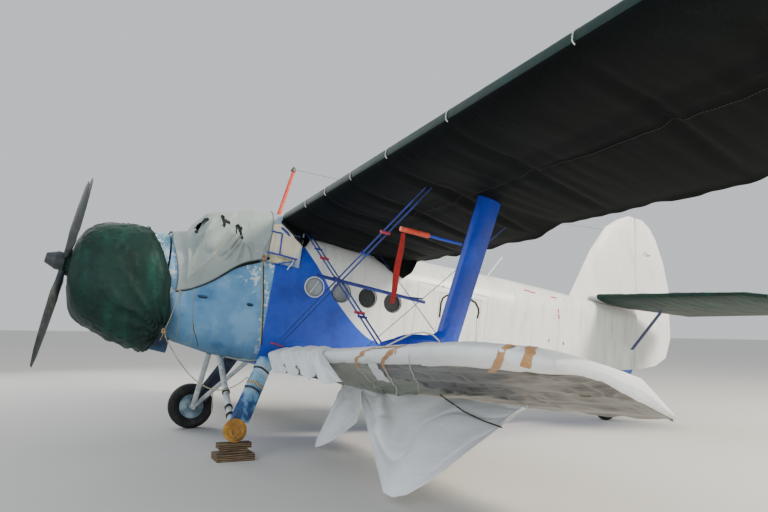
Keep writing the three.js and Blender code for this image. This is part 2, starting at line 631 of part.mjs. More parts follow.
level.add(piece('cargo_door', cargoDoor(), 'white'));
level.add(piece('entry_door', entryDoor(), 'white'));
level.add(piece('cabin_windows_left', cabinWindows(1), 'glass', 0.1));
level.add(piece('cabin_windows_right', cabinWindows(-1), 'glass', 0.1));
level.add(piece('tail_fuselage', tailFuselage(), 'white'));

// Wings, covers, struts and bracing, left then right
level.add(piece('upper_wing_centre', upperCentre(), 'white'));
const sides = [['left', (p) => p], ['right', mirrored]];
const bays = bracing();
const upperSleeve = sleeve(upperCoverOuter, UPPER, 780, block([700, 3200, 0], [802, 5900, 2000]));
const lowerSleeve = sleeve(lowerCoverOuter, LOWER, 880, block([700, 3300, -1500], [905, 5800, 0]));
for (const [side, place] of sides) {
  const way = side === 'left' ? 1 : -1;
  level.add(piece(`upper_wing_${side}`, wingOn(UPPER, way), 'white'));
  level.add(piece(`lower_wing_${side}`, wingOn(LOWER, way), 'white'));
  level.add(piece(`upper_wing_cover_${side}`, place(upperSleeve), 'black', 0.95));
  level.add(piece(`lower_wing_cover_${side}`, place(lowerSleeve), 'sheet', 0.7));
  level.add(piece(`interplane_strut_${side}`, place(strutLeft), 'blue', 0.3));
  level.add(piece(`bracing_${side}`, place(bays), 'blue', 0.4));
}

// Main gear
level.add(piece('gear_brace_left', gearBrace(true), 'yellow'));
level.add(piece('gear_brace_right', mirrored(gearBrace(false)), 'white'));
level.add(piece('gear_leg_left', gearLeg(), 'paleBlue'));
level.add(piece('gear_leg_right', mirrored(gearLeg()), 'paleBlue'));
const tyre = wheelProfile(WHEEL_RADIUS, WHEEL_WIDTH, 48);
const hub = worldOf(-WHEEL_X, AXLE.y, AXLE.z);
part.add(piece('main_wheel_right',
  turnedOnX(tyre, WHEEL_SIDES, hub.toArray(), Math.PI / WHEEL_SIDES), 'rubber', 0.9));

// Block stack under the left axle flange
const flange = worldOf(FLANGE_X, AXLE.y, AXLE.z);
const stackTop = flange.z - FLANGE_RADIUS - GAP;
const stack = joined(
  block([1400, flange.y - 260, 0], [1780, flange.y + 260, 95]),
  block([1460, flange.y - 170, 94], [1720, flange.y + 170, stackTop - 70]),
  block([1520, flange.y - 230, stackTop - 71], [1700, flange.y + 230, stackTop]));
part.add(piece('block_stack', stack, 'wood', 0.9));

// Tail gear
const tailHub = worldOf(0, TAIL_WHEEL_Y, TAIL_WHEEL_Z);
const SWIVEL_TRAIL = 110;
const swivelY = tailHub.y - SWIVEL_TRAIL;
const tailTyre = wheelProfile(TAIL_WHEEL_RADIUS, 190, 24);
part.add(piece('tail_wheel',
  turnedOnX(tailTyre, TAIL_WHEEL_SIDES, tailHub.toArray(), Math.PI / TAIL_WHEEL_SIDES), 'rubber', 0.9));
const forkTop = 560;
const axleZ = TAIL_HUB_HEIGHT;
const fork = joined(
  rod([0, swivelY, 500], [0, swivelY, forkTop], 62, 14),
  block([-140, swivelY - 45, 490], [140, swivelY + 130, 520]),
  loft([[490, swivelY - 30, swivelY + 130], [axleZ + 30, tailHub.y - 40, tailHub.y + 40], [axleZ - 35, tailHub.y - 25, tailHub.y + 25]]
    .map(([z, a, b]) => [[112, a, z], [134, a, z], [134, b, z], [112, b, z]])),
  loft([[490, swivelY - 30, swivelY + 130], [axleZ + 30, tailHub.y - 40, tailHub.y + 40], [axleZ - 35, tailHub.y - 25, tailHub.y + 25]]
    .map(([z, a, b]) => [[-112, a, z], [-134, a, z], [-134, b, z], [-112, b, z]])),
  rod([-134, tailHub.y, axleZ], [134, tailHub.y, axleZ], 18, 12));
part.add(piece('tail_fork', fork, 'metal', 0.5, 0.6));
const legUp = joined(rod([0, swivelY, forkTop + 6], [0, swivelY, forkTop + 190], 70, 14),
  rod([0, swivelY, forkTop + 120], [0, swivelY - 60, 1050], 58, 12, 90));
const tailSkinWorld = roomOf(TAIL, 1).rotate([-THREE.MathUtils.radToDeg(GROUND_ANGLE), 0, 0])
  .translate([0, -NOSE_TO_ORIGIN, DATUM_HEIGHT]);
part.add(piece('tail_leg', legUp.subtract(tailSkinWorld), 'metal', 0.5, 0.6));

// Tail surfaces
const finClean = finSolid();
level.add(piece('fin', finClean, 'white'));
level.add(piece('rudder', rudderSolid(), 'white'));
const tailplane = foil(TAILPLANE);
const tailSleeve = foil(stretched(TAILPLANE.slice(1), 300, 25), CLOTH_GAP + 12)
  .subtract(foil(stretched(TAILPLANE.slice(1), 280, 12), CLOTH_GAP));
const tailStrut = vane([330, 11420, 395], [950, 11550, 1262], 95, 38);
for (const [side, place] of sides) {
  level.add(piece(`tailplane_${side}`, place(tailplane.subtract(roomOf(TAIL, 1))), 'white'));
  level.add(piece(`tail_cover_${side}`, place(tailSleeve.subtract(roomOf(TAIL, 2))), 'green', 0.9));
  level.add(piece(`tailplane_strut_${side}`,
    place(tailStrut.subtract(foil(stretched(TAILPLANE, 60, 30), CLOTH_GAP + 13)).subtract(roomOf(TAIL, 1))), 'blue'));
}

// Mast, pitot boom and its streamer
const mastFoot = [0, 3430, 1250];
const mast = rod(mastFoot, [0, 3590, 2300], 36, 12, 30).add(rod([0, 3580, 2290], [0, 3595, 2365], 48, 12, 30));
level.add(piece('aerial_mast', mast.subtract(centreFoil(810, 1)).subtract(roomOf(CANOPY, 30)), 'orange'));
const boom = joined(rod([STRUT_X, 4400, 655], [STRUT_X, 3660, 655], 17, 10),
  rod([STRUT_X, 3960, 655], [STRUT_X, 3600, 655], 30, 10)).subtract(strutSolid(1));
level.add(piece('pitot_boom', boom, 'orange'));
const streamerTop = worldOf(STRUT_X, 3642, 612);
const STREAMER = { half: 36, drop: 780, forward: 131 };
const streamer = clothPanel([
  [0, 1], [0, -1], [1, -1], [1, 1],
].map(([low, side]) => [STRUT_X, streamerTop.y - low * STREAMER.forward + side * STREAMER.half,
  streamerTop.z - 1 - low * STREAMER.drop]), 14);
part.add(piece('pitot_streamer', streamer, 'orange', 0.9));

// Two loose corners of the lower left cover hang under the wing
const bigSheet = clothPanel([[2300, 4480, -1200], [5000, 5200, -1110], [5010, 4900, -1308], [4970, 4360, -1780],
  [4700, 3890, -2130], [3600, 4100, -1760], [2600, 4350, -1390]], 12);
const smallSheet = clothPanel([[1250, 4720, -1150], [2150, 4520, -1120], [2350, 4430, -1560], [1480, 4280, -2090]], 12);
level.add(piece('hanging_sheet_outer', bigSheet.subtract(lowerKeepOut), 'sheet', 0.7));
level.add(piece('hanging_sheet_inner', smallSheet.subtract(lowerKeepOut), 'sheet', 0.7));

// The free rope from the knot of the engine cover to the left gear leg, and its dropped end
const ROPE_RADIUS = 6;
const ROPE_FROM = worldOf(780, 1905, -850);
const ROPE_TO = worldOf(1188, 3110, -1270);
const ROPE_SAG = 430;
function ropePoint(t) {
  const p = ROPE_FROM.clone().lerp(ROPE_TO, t);
  p.z -= ROPE_SAG * 4 * t * (1 - t);
  return p;
}
function ropeSolid(points, steps) {
  const section = new THREE.Shape(Array.from({ length: 8 }, (_, k) => new THREE.Vector2(
    ROPE_RADIUS * Math.cos((k * Math.PI) / 4), ROPE_RADIUS * Math.sin((k * Math.PI) / 4))));
  const path = new THREE.CatmullRomCurve3(points);
  return solid(new THREE.ExtrudeGeometry(section, { steps, bevelEnabled: false, extrudePath: path }));
}
const ropePoints = Array.from({ length: 21 }, (_, k) => ropePoint(k / 20));
part.add(piece('tie_rope', ropeSolid(ropePoints, 46), 'rope', 0.95));
const endTop = ropePoint(0.6);
const endPoints = [[0, -8], [4, -60], [10, -130], [4, -200], [-6, -270], [-4, -330]]
  .map(([dx, dz]) => new THREE.Vector3(endTop.x + dx, endTop.y, endTop.z + dz));
part.add(piece('tie_rope_end', ropeSolid(endPoints, 10), 'rope', 0.95));

export default part;
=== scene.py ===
# %% [markdown]
# A biplane put away under its covers, dressed for a studio picture.
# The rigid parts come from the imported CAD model, which is loaded first and never moved.
# This script adds what CAD leaves plain: cloth, ropes, wires, seals and the finish of every surface.
# All lengths are in metres. +X is the left wing tip, +Y is aft and +Z is up, with the ground at Z = 0.

# %% Load the fixed frame
import bpy
import math
from mathutils import Matrix, Vector, noise
from mathutils.bvhtree import BVHTree


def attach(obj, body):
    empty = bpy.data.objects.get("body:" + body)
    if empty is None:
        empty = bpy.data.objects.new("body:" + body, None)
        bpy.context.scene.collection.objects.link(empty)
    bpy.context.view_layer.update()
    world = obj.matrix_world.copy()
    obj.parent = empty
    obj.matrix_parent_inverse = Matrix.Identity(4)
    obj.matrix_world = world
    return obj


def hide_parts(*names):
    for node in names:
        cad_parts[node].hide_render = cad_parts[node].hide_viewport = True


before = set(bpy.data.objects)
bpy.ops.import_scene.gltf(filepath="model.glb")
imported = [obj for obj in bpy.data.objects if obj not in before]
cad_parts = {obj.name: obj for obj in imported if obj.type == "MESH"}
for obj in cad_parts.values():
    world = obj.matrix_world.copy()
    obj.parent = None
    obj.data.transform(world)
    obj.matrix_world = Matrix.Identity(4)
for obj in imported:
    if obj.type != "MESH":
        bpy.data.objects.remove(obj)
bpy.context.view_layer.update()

# %% [markdown]
# The aircraft leans back on its tail wheel, so its own lines are easier to give in a level frame:
# x to the left, s aft of the propeller, z up from the thrust line. One function turns such a point
# into the world, and every piece below is placed through it. Most pieces have a twin on the right,
# so a way of 1 or -1 multiplies x.

# %% The airframe's level frame
LEAN = math.radians(8.71)
START_TO_ORIGIN = 6.4377
DATUM_HEIGHT = 2.81337
SIDES = ((1, "left"), (-1, "right"))


def level(x, s, z):
    y = s * math.cos(LEAN) + z * math.sin(LEAN) - START_TO_ORIGIN
    return Vector((x, y, z * math.cos(LEAN) - s * math.sin(LEAN) + DATUM_HEIGHT))


def levelled(*places):
    return [level(*place) for place in places]


# %% [markdown]
# The camera stands low by the left wing tip, at eye height, and looks in under the upper wing.
# Its place, its two angles and its slight roll were solved from points of the photograph, so the
# render can be laid over it. The lens follows from the solved focal length on a 36 mm sensor.

# %% Camera
CAMERA_PLACE = Vector((11.299, -6.1903, 1.781))
CAMERA_YAW = math.radians(64.377)
CAMERA_PITCH = math.radians(6.291)
CAMERA_ROLL = math.radians(0.768)
FOCAL_PIXELS = 688.2
PICTURE_WIDTH = 768
SENSOR = 36.0


def put_in_scene(name, data):
    made = bpy.data.objects.new(name, data)
    bpy.context.scene.collection.objects.link(made)
    return made


ahead = Vector((-math.sin(CAMERA_YAW) * math.cos(CAMERA_PITCH),
    math.cos(CAMERA_YAW) * math.cos(CAMERA_PITCH), math.sin(CAMERA_PITCH)))
side = ahead.cross(Vector((0, 0, 1))).normalized()
upward = side.cross(ahead)
picture_right = side * math.cos(CAMERA_ROLL) + upward * math.sin(CAMERA_ROLL)
picture_up = upward * math.cos(CAMERA_ROLL) - side * math.sin(CAMERA_ROLL)
camera_data = bpy.data.cameras.new("camera")
camera_data.lens = FOCAL_PIXELS / PICTURE_WIDTH * SENSOR
camera_data.sensor_width = SENSOR
camera = put_in_scene("camera", camera_data)
turned = Matrix((picture_right, picture_up, -ahead)).transposed().to_4x4()
camera.matrix_world = Matrix.Translation(CAMERA_PLACE) @ turned
bpy.context.scene.camera = camera
print("lens", round(camera_data.lens, 2), "mm")

# %% [markdown]
# A material is a small network of nodes. One helper turns an sRGB hex colour into the linear values
# that the renderer mixes, and one adds a node with its settings and its links in a single call. The
# rest are the few kinds of node that nearly every surface uses: cloudy noise, parallel waves, a
# stretch of one range over another, a bump, a sum and a blend of two colours.
# A wave texture repeats every 314 mm at scale 1, which turns a real pitch into its scale.

# %% Colour and node helpers
WAVE_REPEAT_MM = 314.16


def linear(code):
    shares = [int(code[i:i + 2], 16) / 255 for i in (1, 3, 5)]
    return (*[c / 12.92 if c < 0.04045 else ((c + 0.055) / 1.055) ** 2.4 for c in shares], 1.0)


def feed(tree, socket, value):
    if isinstance(value, bpy.types.NodeSocket):
        tree.links.new(value, socket)
    else:
        socket.default_value = value


def node(tree, kind, inputs, **settings):
    made = tree.nodes.new("ShaderNode" + kind)
    for name, value in settings.items():
        setattr(made, name, value)
    for name, value in inputs.items():
        feed(tree, made.inputs[name], value)
    return made


def begin(name, rough, metal=0.0, ior=1.5):
    material = bpy.data.materials.new(name)
    material.use_nodes = True
    tree = material.node_tree
    shader = tree.nodes["Principled BSDF"]
    shader.inputs["Roughness"].default_value = rough
    shader.inputs["Metallic"].default_value = metal
    if metal < 0.5:
        shader.inputs["IOR"].default_value = ior
    return material, tree, shader, node(tree, "TexCoord", {}).outputs["Object"]


def close(tree, shader, colour, normal=None, gloss=None):
    for name, value in (("Base Color", colour), ("Normal", normal), ("Roughness", gloss)):
        if value:
            tree.links.new(value, shader.inputs[name])


def ramp(tree, value, stops):
    made = node(tree, "ValToRGB", {"Fac": value})
    elements = made.color_ramp.elements
    for element, (where, code) in zip(elements, (stops[0], stops[-1])):
        element.position, element.color = where, linear(code)
    for where, code in stops[1:-1]:
        elements.new(where).color = linear(code)
    made.color_ramp.interpolation = "EASE"
    return made.outputs["Color"]


def clouds(tree, place, scale, detail, rough=0.5, warp=0.0):
    return node(tree, "TexNoise", {"Vector": place, "Scale": scale, "Detail": detail, "Roughness": rough,
        "Distortion": warp}).outputs["Fac"]


def waves(tree, place, pitch_mm, way, warp=0.0, detail=2.0, detail_scale=1.0):
    return node(tree, "TexWave", {"Vector": place, "Scale": WAVE_REPEAT_MM / pitch_mm, "Distortion": warp,
        "Detail": detail, "Detail Scale": detail_scale}, bands_direction=way).outputs["Fac"]


def stretched(tree, place, scale):
    return node(tree, "Mapping", {"Vector": place, "Scale": scale}).outputs["Vector"]


def ranged(tree, value, low=0.0, high=1.0, to_low=0.0, to_high=1.0):
    return node(tree, "MapRange", {"Value": value, "From Min": low, "From Max": high, "To Min": to_low,
        "To Max": to_high}).outputs["Result"]


def bumped(tree, height, strength, distance, under=None):
    inputs = {"Height": height, "Strength": strength, "Distance": distance}
    if under:
        inputs["Normal"] = under
    return node(tree, "Bump", inputs).outputs["Normal"]


def worked(tree, operation, first, second):
    return node(tree, "Math", {0: first, 1: second}, operation=operation).outputs[0]


def averaged(tree, share, first, second):
    return node(tree, "Mix", {"Factor": share, "A": first, "B": second}).outputs["Result"]


def mixed(tree, share, first, second, blend="MIX"):
    made = node(tree, "Mix", {"Factor": share}, data_type="RGBA", blend_type=blend)
    for index, value in ((6, first), (7, second)):
        feed(tree, made.inputs[index], linear(value) if isinstance(value, str) else value)
    return made.outputs[2]


# %% [markdown]
# Ropes come before the rest, because the room that a rope takes decides how the model is laid out.
# A thin tie rope runs from the knot of the engine cover to the left main leg. It is slack, so it
# hangs in a curve, and the end of its knot drops straight down from it. Rope is drawn as a curve
# with a round bevel, which keeps its true length easy to measure.

# %% Rope material and the slack tie rope
ROPE_PITCH_MM = 18


def laid_rope(name, light, dark):
    material, tree, shader, place = begin(name, 0.95)
    twist = waves(tree, place, ROPE_PITCH_MM, "DIAGONAL", warp=1.5)
    fibre = clouds(tree, place, 260.0, 4.0)
    colour = ramp(tree, worked(tree, "MULTIPLY", twist, fibre), [(0.05, dark), (0.6, light)])
    close(tree, shader, colour, bumped(tree, twist, 0.5, 0.002))
    return material


hemp_rope = laid_rope("hemp_rope_laid", "#d3c9ab", "#8f8464")
white_cord = laid_rope("cotton_cord_braided", "#eceae0", "#b4b2a8")
# Dark cord, also laid beside a tan cord on the nose as its painted shadow
dark_cord = laid_rope("tarred_cord_and_shadow_line", "#4a463c", "#1e1c18")


def rope(name, points, radius, material, body="airframe"):
    data = bpy.data.curves.new(name, "CURVE")
    data.dimensions = "3D"
    spline = data.splines.new("POLY")
    spline.points.add(len(points) - 1)
    for target, point in zip(spline.points, points):
        target.co = (*point, 1)
    data.bevel_depth = radius
    data.bevel_resolution = 3
    data.use_fill_caps = True
    data.materials.append(material)
    made = put_in_scene(name, data)
    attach(made, body)
    return made


def lengths_along(points):
    lengths = [0.0]
    for a, b in zip(points, points[1:]):
        lengths.append(lengths[-1] + math.dist(a, b))
    return lengths


def free_cord(name, route, radius, material):
    made = rope(name, route, radius, material)
    return made


ROPE_RADIUS, ROPE_SAG, ROPE_STEPS = 0.008, 0.43, 40
rope_from, rope_to = levelled((0.78, 1.905, -0.85), (1.188, 3.11, -1.27))


def rope_point(t):
    return rope_from.lerp(rope_to, t) - Vector((0, 0, ROPE_SAG * 4 * t * (1 - t)))


# The loose end leaves the rope at this share of its way, and drops by these shifts in x and z
END_SHARE = 0.6
END_SHIFTS = [(0, -0.008), (0.004, -0.06), (0.010, -0.13), (0.004, -0.2), (-0.006, -0.27), (-0.004, -0.33)]
tie_rope = free_cord("tie_rope_cord", [rope_point(k / ROPE_STEPS) for k in range(ROPE_STEPS + 1)],
    ROPE_RADIUS, hemp_rope)
end_route = [rope_point(END_SHARE) + Vector((dx, 0, dz)) for dx, dz in END_SHIFTS]
tie_end = free_cord("tie_rope_end_cord", end_route, ROPE_RADIUS, hemp_rope)
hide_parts("tie_rope")
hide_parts("tie_rope_end")

# %% [markdown]
# The studio is a pale floor under a pale sky. The key light comes from high on the left rear of the
# aircraft, as the sun does in the photograph, but it is a broad soft box, so the underside of the upper wing
# cover, painted near black as shade, still shows its seams. A wide fill from the camera's side opens the
# shadows.

# %% Floor and lights


def soft_box(name, place, aim, size, power, tint):
    data = bpy.data.lights.new(name, "AREA")
    data.shape = "SQUARE"
    data.size = size
    data.energy = power
    data.color = linear(tint)[:3]
    lamp = put_in_scene(name, data)
    lamp.location = place
    lamp.rotation_euler = (Vector(aim) - Vector(place)).to_track_quat("-Z", "Y").to_euler()


soft_box("key_light", (17, 13, 15), (0, -1, 1.6), 6, 9600, "#fff4e2")
soft_box("fill_light", (15, -17, 7), (0, -2, 2), 12, 1350, "#e6f0ff")
soft_box("far_light", (-16, -8, 10), (0, 0, 2), 10, 1300, "#ffffff")

world = bpy.data.worlds.new("studio")
bpy.context.scene.world = world
world.use_nodes = True
sky = world.node_tree.nodes["Background"]
sky.inputs["Color"].default_value = linear("#e6ebef")
sky.inputs["Strength"].default_value = 0.88

FLOOR_HALF = 400
floor_material, tree, shader, place = begin("matt_studio_floor", 0.9)
shader.inputs["Base Color"].default_value = linear("#cfcdc8")
floor_mesh = bpy.data.meshes.new("floor")
corners = [(FLOOR_HALF * x, FLOOR_HALF * y, 0) for x, y in ((-1, -1), (1, -1), (1, 1), (-1, 1))]
floor_mesh.from_pydata(corners, [], [(0, 1, 2, 3)])
floor_mesh.materials.append(floor_material)
put_in_scene("floor", floor_mesh)
print("studio ready")

# %% [markdown]
# The covers are coated cloth: a plain weave with a skin of rubber or paint rolled on. The skin gives a dull
# sheen on the crest of each fold. Age adds broad stains, run-down streaks and pale wear; on the green cloth
# the broad light and dark patches also paint dappled sunlight. The real weave is under 1 mm and would never
# show at this distance, so it is drawn at 7 mm, faintly.

# %% Cloth finishes
SHOWN_WEAVE_MM = 7.0


def coated_cloth(name, stops, rough, streak=(1.0, 1.0, 0.35), broad=1.5, worn=None, weave=0.25, sheen=0.15,
        gleam=0.5, crease=0.35):
    material, tree, shader, place = begin(name, rough, ior=1.47)
    drawn = stretched(tree, place, streak)
    broad_mottle = clouds(tree, drawn, broad, 7.0, 0.6, 0.4)
    colour = ramp(tree, averaged(tree, 0.25, broad_mottle, clouds(tree, place, 38.0, 4.0)), stops)
    if worn:
        colour = mixed(tree, ranged(tree, clouds(tree, place, 5.5, 9.0, 0.75), 0.60, 0.74), colour, worn)
    warp, weft = (waves(tree, place, SHOWN_WEAVE_MM, way, warp=0.6) for way in "XZ")
    creases = bumped(tree, clouds(tree, drawn, 9.0, 5.0, 0.55), crease, 0.02)
    threads = bumped(tree, worked(tree, "MAXIMUM", warp, weft), weave, 0.001, creases)
    shader.inputs["Sheen Weight"].default_value = sheen
    shader.inputs["Specular IOR Level"].default_value = gleam
    close(tree, shader, colour, threads, ranged(tree, broad_mottle, to_low=rough - 0.08, to_high=rough + 0.1))
    return material


# Its broad, vertically drawn light patches are partly stain and partly painted dappled sunlight.
green_cloth = coated_cloth("rubberised_green_cotton",
    [(0.30, "#031815"), (0.50, "#072c25"), (0.72, "#134a3d")], 0.60, streak=(1.0, 1.0, 0.3), broad=2.6,
    sheen=0.05, gleam=0.3)
grey_canvas = coated_cloth("weathered_cotton_canvas",
    [(0.3, "#84928f"), (0.5, "#98a4a1"), (0.72, "#abb5b1")], 0.9, broad=1.1, weave=0.4, sheen=0.3)
# A near-black copy of the dark green bag cloth: it paints the shade on the upper bag's underside, its root
# flap and its apron.
shaded_cover_cloth = coated_cloth("rubberised_cover_cotton_painted_shade",
    [(0.3, "#040708"), (0.55, "#090e0f"), (0.75, "#121a1a")], 0.75, streak=(0.7, 0.35, 1.0), broad=1.4,
    sheen=0.0, gleam=0.12)
teal_cloth = coated_cloth("rubberised_teal_cotton", [(0.3, "#061b1a"), (0.5, "#0a2b28"), (0.72, "#123c37")],
    0.6, streak=(0.7, 0.35, 1.0), broad=1.6, sheen=0.05, gleam=0.35)
# White sheeting greyed and greened as painted shade, for the underside at the wing root.
root_shade_sheeting = coated_cloth("white_sheeting_painted_root_shade",
    [(0.3, "#5d6152"), (0.5, "#7c8071"), (0.7, "#9da090")], 0.5, streak=(0.6, 1.6, 1.0), broad=1.6,
    crease=0.6)
# A brighter copy of the white sheeting: it paints the sunlight on the two hanging ends.
sunlit_sheeting = coated_cloth("coated_sheeting_painted_sunlit",
    [(0.3, "#e8ebec"), (0.5, "#f3f5f5"), (0.7, "#fdfdfd")], 0.5, streak=(0.8, 0.5, 1.0), broad=1.2,
    crease=0.6)
white_sheeting = coated_cloth("coated_white_sheeting",
    [(0.3, "#d3d7d8"), (0.5, "#e4e7e8"), (0.7, "#f1f3f3")], 0.5, streak=(0.8, 0.5, 1.0), broad=1.2,
    crease=0.6)
# The lower bag's underside: real soiling, darkened further as painted shade.
soiled_and_shaded_sheeting = coated_cloth("white_sheeting_soiled_and_shaded",
    [(0.34, "#1a1811"), (0.46, "#2a271c"), (0.55, "#403c2f"), (0.70, "#7d7a6b")], 0.34,
    streak=(0.22, 2.4, 1.0), broad=2.1, crease=0.5)
red_cloth = coated_cloth("faded_red_flag_cotton", [(0.3, "#8c1915"), (0.5, "#a9211c"), (0.7, "#c23329")],
    0.85)
hem_green = coated_cloth("green_webbing_woven", [(0.3, "#031613"), (0.7, "#0e342c")], 0.8)
hem_grey = coated_cloth("canvas_hem_doubled", [(0.3, "#4e5654"), (0.7, "#7d8683")], 0.9)
# Besides hems and felt, this black cloth paints shade: under the canvas tears, along the pane's top edge and
# in the scoop mouths.
black_webbing_and_shade = coated_cloth("black_webbing_and_painted_shade", [(0.3, "#07090a"), (0.7, "#181c1e")], 0.75)
print("cloth finishes ready")

# %% [markdown]
# Cloth is made from grids of points. A grid keeps the threads of the cloth in order: one direction
# runs along it, the other across it, so folds, hems and seams can be placed by counting along an
# edge. Each grid becomes one smooth mesh. Cells can be left out of it, for a hole or a tear, and an
# edge sharper than a set angle is marked sharp, so that a hard turn isn't smeared by the shading.

# %% Mesh helpers
SHARP_FROM = math.radians(58)


def smooth_step(low, high, value):
    t = min(1.0, max(0.0, (value - low) / (high - low)))
    return t * t * (3 - 2 * t)


def between(table, value, column=1):
    if value <= table[0][0]:
        return table[0][column]
    for a, b in zip(table, table[1:]):
        if value <= b[0]:
            return a[column] + (b[column] - a[column]) * (value - a[0]) / (b[0] - a[0])
    return table[-1][column]


def curved(table, value, column=1):
    slopes = []
    for k in range(len(table)):
        a, b = table[max(0, k - 1)], table[min(len(table) - 1, k + 1)]
        slopes.append((b[column] - a[column]) / (b[0] - a[0]))
    if value <= table[0][0]:
        return table[0][column]
    for k, (a, b) in enumerate(zip(table, table[1:])):
        if value <= b[0]:
            wide = b[0] - a[0]
            t = (value - a[0]) / wide
            return ((2 * t ** 3 - 3 * t ** 2 + 1) * a[column] + (t ** 3 - 2 * t ** 2 + t) * wide * slopes[k]
                + (3 * t ** 2 - 2 * t ** 3) * b[column] + (t ** 3 - t ** 2) * wide * slopes[k + 1])
    return table[-1][column]


def point_along(points, lengths, goal):
    k = next((n for n in range(1, len(lengths)) if lengths[n] >= goal - 1e-9), len(lengths) - 1)
    t = (goal - lengths[k - 1]) / max(1e-9, lengths[k] - lengths[k - 1])
    return tuple(p + (q - p) * t for p, q in zip(points[k - 1], points[k]))


def spaced(points, count):
    lengths = lengths_along(points)
    return [point_along(points, lengths, lengths[-1] * k / (count - 1)) for k in range(count)]


def grid_piece(name, rows, material, closed=False, flip=False, hole=None):
    wide = len(rows[0])
    faces = []
    for i in range(len(rows) - 1):
        for j in range(wide if closed else wide - 1):
            if hole and hole(i, j):
                continue
            k = (j + 1) % wide
            face = (i * wide + j, i * wide + k, (i + 1) * wide + k, (i + 1) * wide + j)
            faces.append(face[::-1] if flip else face)
    data = bpy.data.meshes.new(name)
    data.from_pydata([tuple(p) for row in rows for p in row], [], faces)
    data.materials.append(material)
    data.polygons.foreach_set("use_smooth", [True] * len(data.polygons))
    data.set_sharp_from_angle(angle=SHARP_FROM)
    made = put_in_scene(name, data)
    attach(made, "airframe")
    return made


def ripple(point, size, seed=0.0):
    return noise.noise(Vector(point) / size + Vector((seed, seed * 0.37, -seed * 0.71)))


print("mesh helpers ready")

# %% [markdown]
# The engine cover is a sewn bag of coated green cloth, pulled over the cowling from the front and
# gathered with a rope at the rear. It could be blown up by a cloth simulation, but the real one is
# pulled tight, so its form is known: rings between measured stations, with the folds that the rope
# and the knot pull into it. The rear edge isn't square: it runs forward over the top of the cowling.

# %% Sections of the nose and the engine cover
CORNER_STEPS = 8
# s aft of the propeller, half width, top, bottom, radius of the top corners, of the bottom corners
ENGINE_COVER = [
    (0.470, 0.330, 0.330, -0.360, 0.320, 0.320), (0.560, 0.500, 0.500, -0.650, 0.490, 0.480),
    (0.720, 0.650, 0.640, -0.820, 0.620, 0.560), (0.900, 0.735, 0.712, -0.900, 0.690, 0.600),
    (1.300, 0.795, 0.768, -1.050, 0.740, 0.600), (1.920, 0.812, 0.800, -1.140, 0.740, 0.560),
]
NOSE = [
    (1.780, 0.745, 0.770, -0.800, 0.740, 0.700), (2.140, 0.810, 0.835, -0.900, 0.600, 0.480),
    (2.800, 0.868, 1.180, -1.010, 0.590, 0.340), (3.690, 0.880, 1.200, -1.085, 0.560, 0.300),
]
CANOPY = [
    (2.150, 0.800, 0.850, 0.520, 0.330, 0.012), (2.250, 0.838, 1.030, 0.520, 0.330, 0.012),
    (2.420, 0.880, 1.190, 0.520, 0.330, 0.012), (2.820, 0.925, 1.305, 0.520, 0.330, 0.012),
    (3.190, 0.935, 1.345, 0.520, 0.330, 0.012), (3.690, 0.925, 1.345, 0.520, 0.330, 0.012),
]


def section(table, s, grow=0.0, soft=False):
    pick = curved if soft else between
    half, top, low, r_top, r_low = (pick(table, s, k) for k in range(1, 6))
    half, top, low = half + grow, top + grow, low - grow
    r_top = min(r_top + grow, half, (top - low) / 2)
    r_low = min(r_low + grow, half, (top - low) / 2)
    corners = [(half - r_top, top - r_top, r_top), (r_top - half, top - r_top, r_top),
        (r_low - half, low + r_low, r_low), (half - r_low, low + r_low, r_low)]
    ring = []
    for quarter, (cx, cz, r) in enumerate(corners):
        for k in range(CORNER_STEPS + 1):
            angle = (quarter + k / CORNER_STEPS) * math.pi / 2
            ring.append((cx + r * math.cos(angle), cz + r * math.sin(angle)))
    return ring


def round_cover(s):
    ring = section(ENGINE_COVER, s, soft=True)
    ring.append(ring[0])
    return ring, lengths_along(ring)


# %% [markdown]
# The rear edge of the bag is a curve on the cowling's side: high up it stops at 1.4 m, and it runs
# back to 1.9 m by the rope's knot. Every thread along the bag ends on that curve. The knot sits low
# on the left side, and the folds fan out from it and fade with distance.

# %% Engine cover
COVER_FRONT = 0.470
COVER_EDGE = [
    (-1.20, 1.700), (-0.95, 1.800), (-0.74, 1.877), (-0.56, 1.915), (-0.20, 1.835), (-0.05, 1.825),
    (0.02, 1.800), (0.42, 1.605), (0.72, 1.440), (0.90, 1.420),
]
KNOT_S, KNOT_Z = 1.850, -0.800
AROUND, ALONG = 168, 84
FAN_FOLDS, GATHER_PLEATS, NECK_PLEATS = 17, 26, 21
# Share of the way from the front to the rear edge where the rope lies
ROPE_AT = 0.95


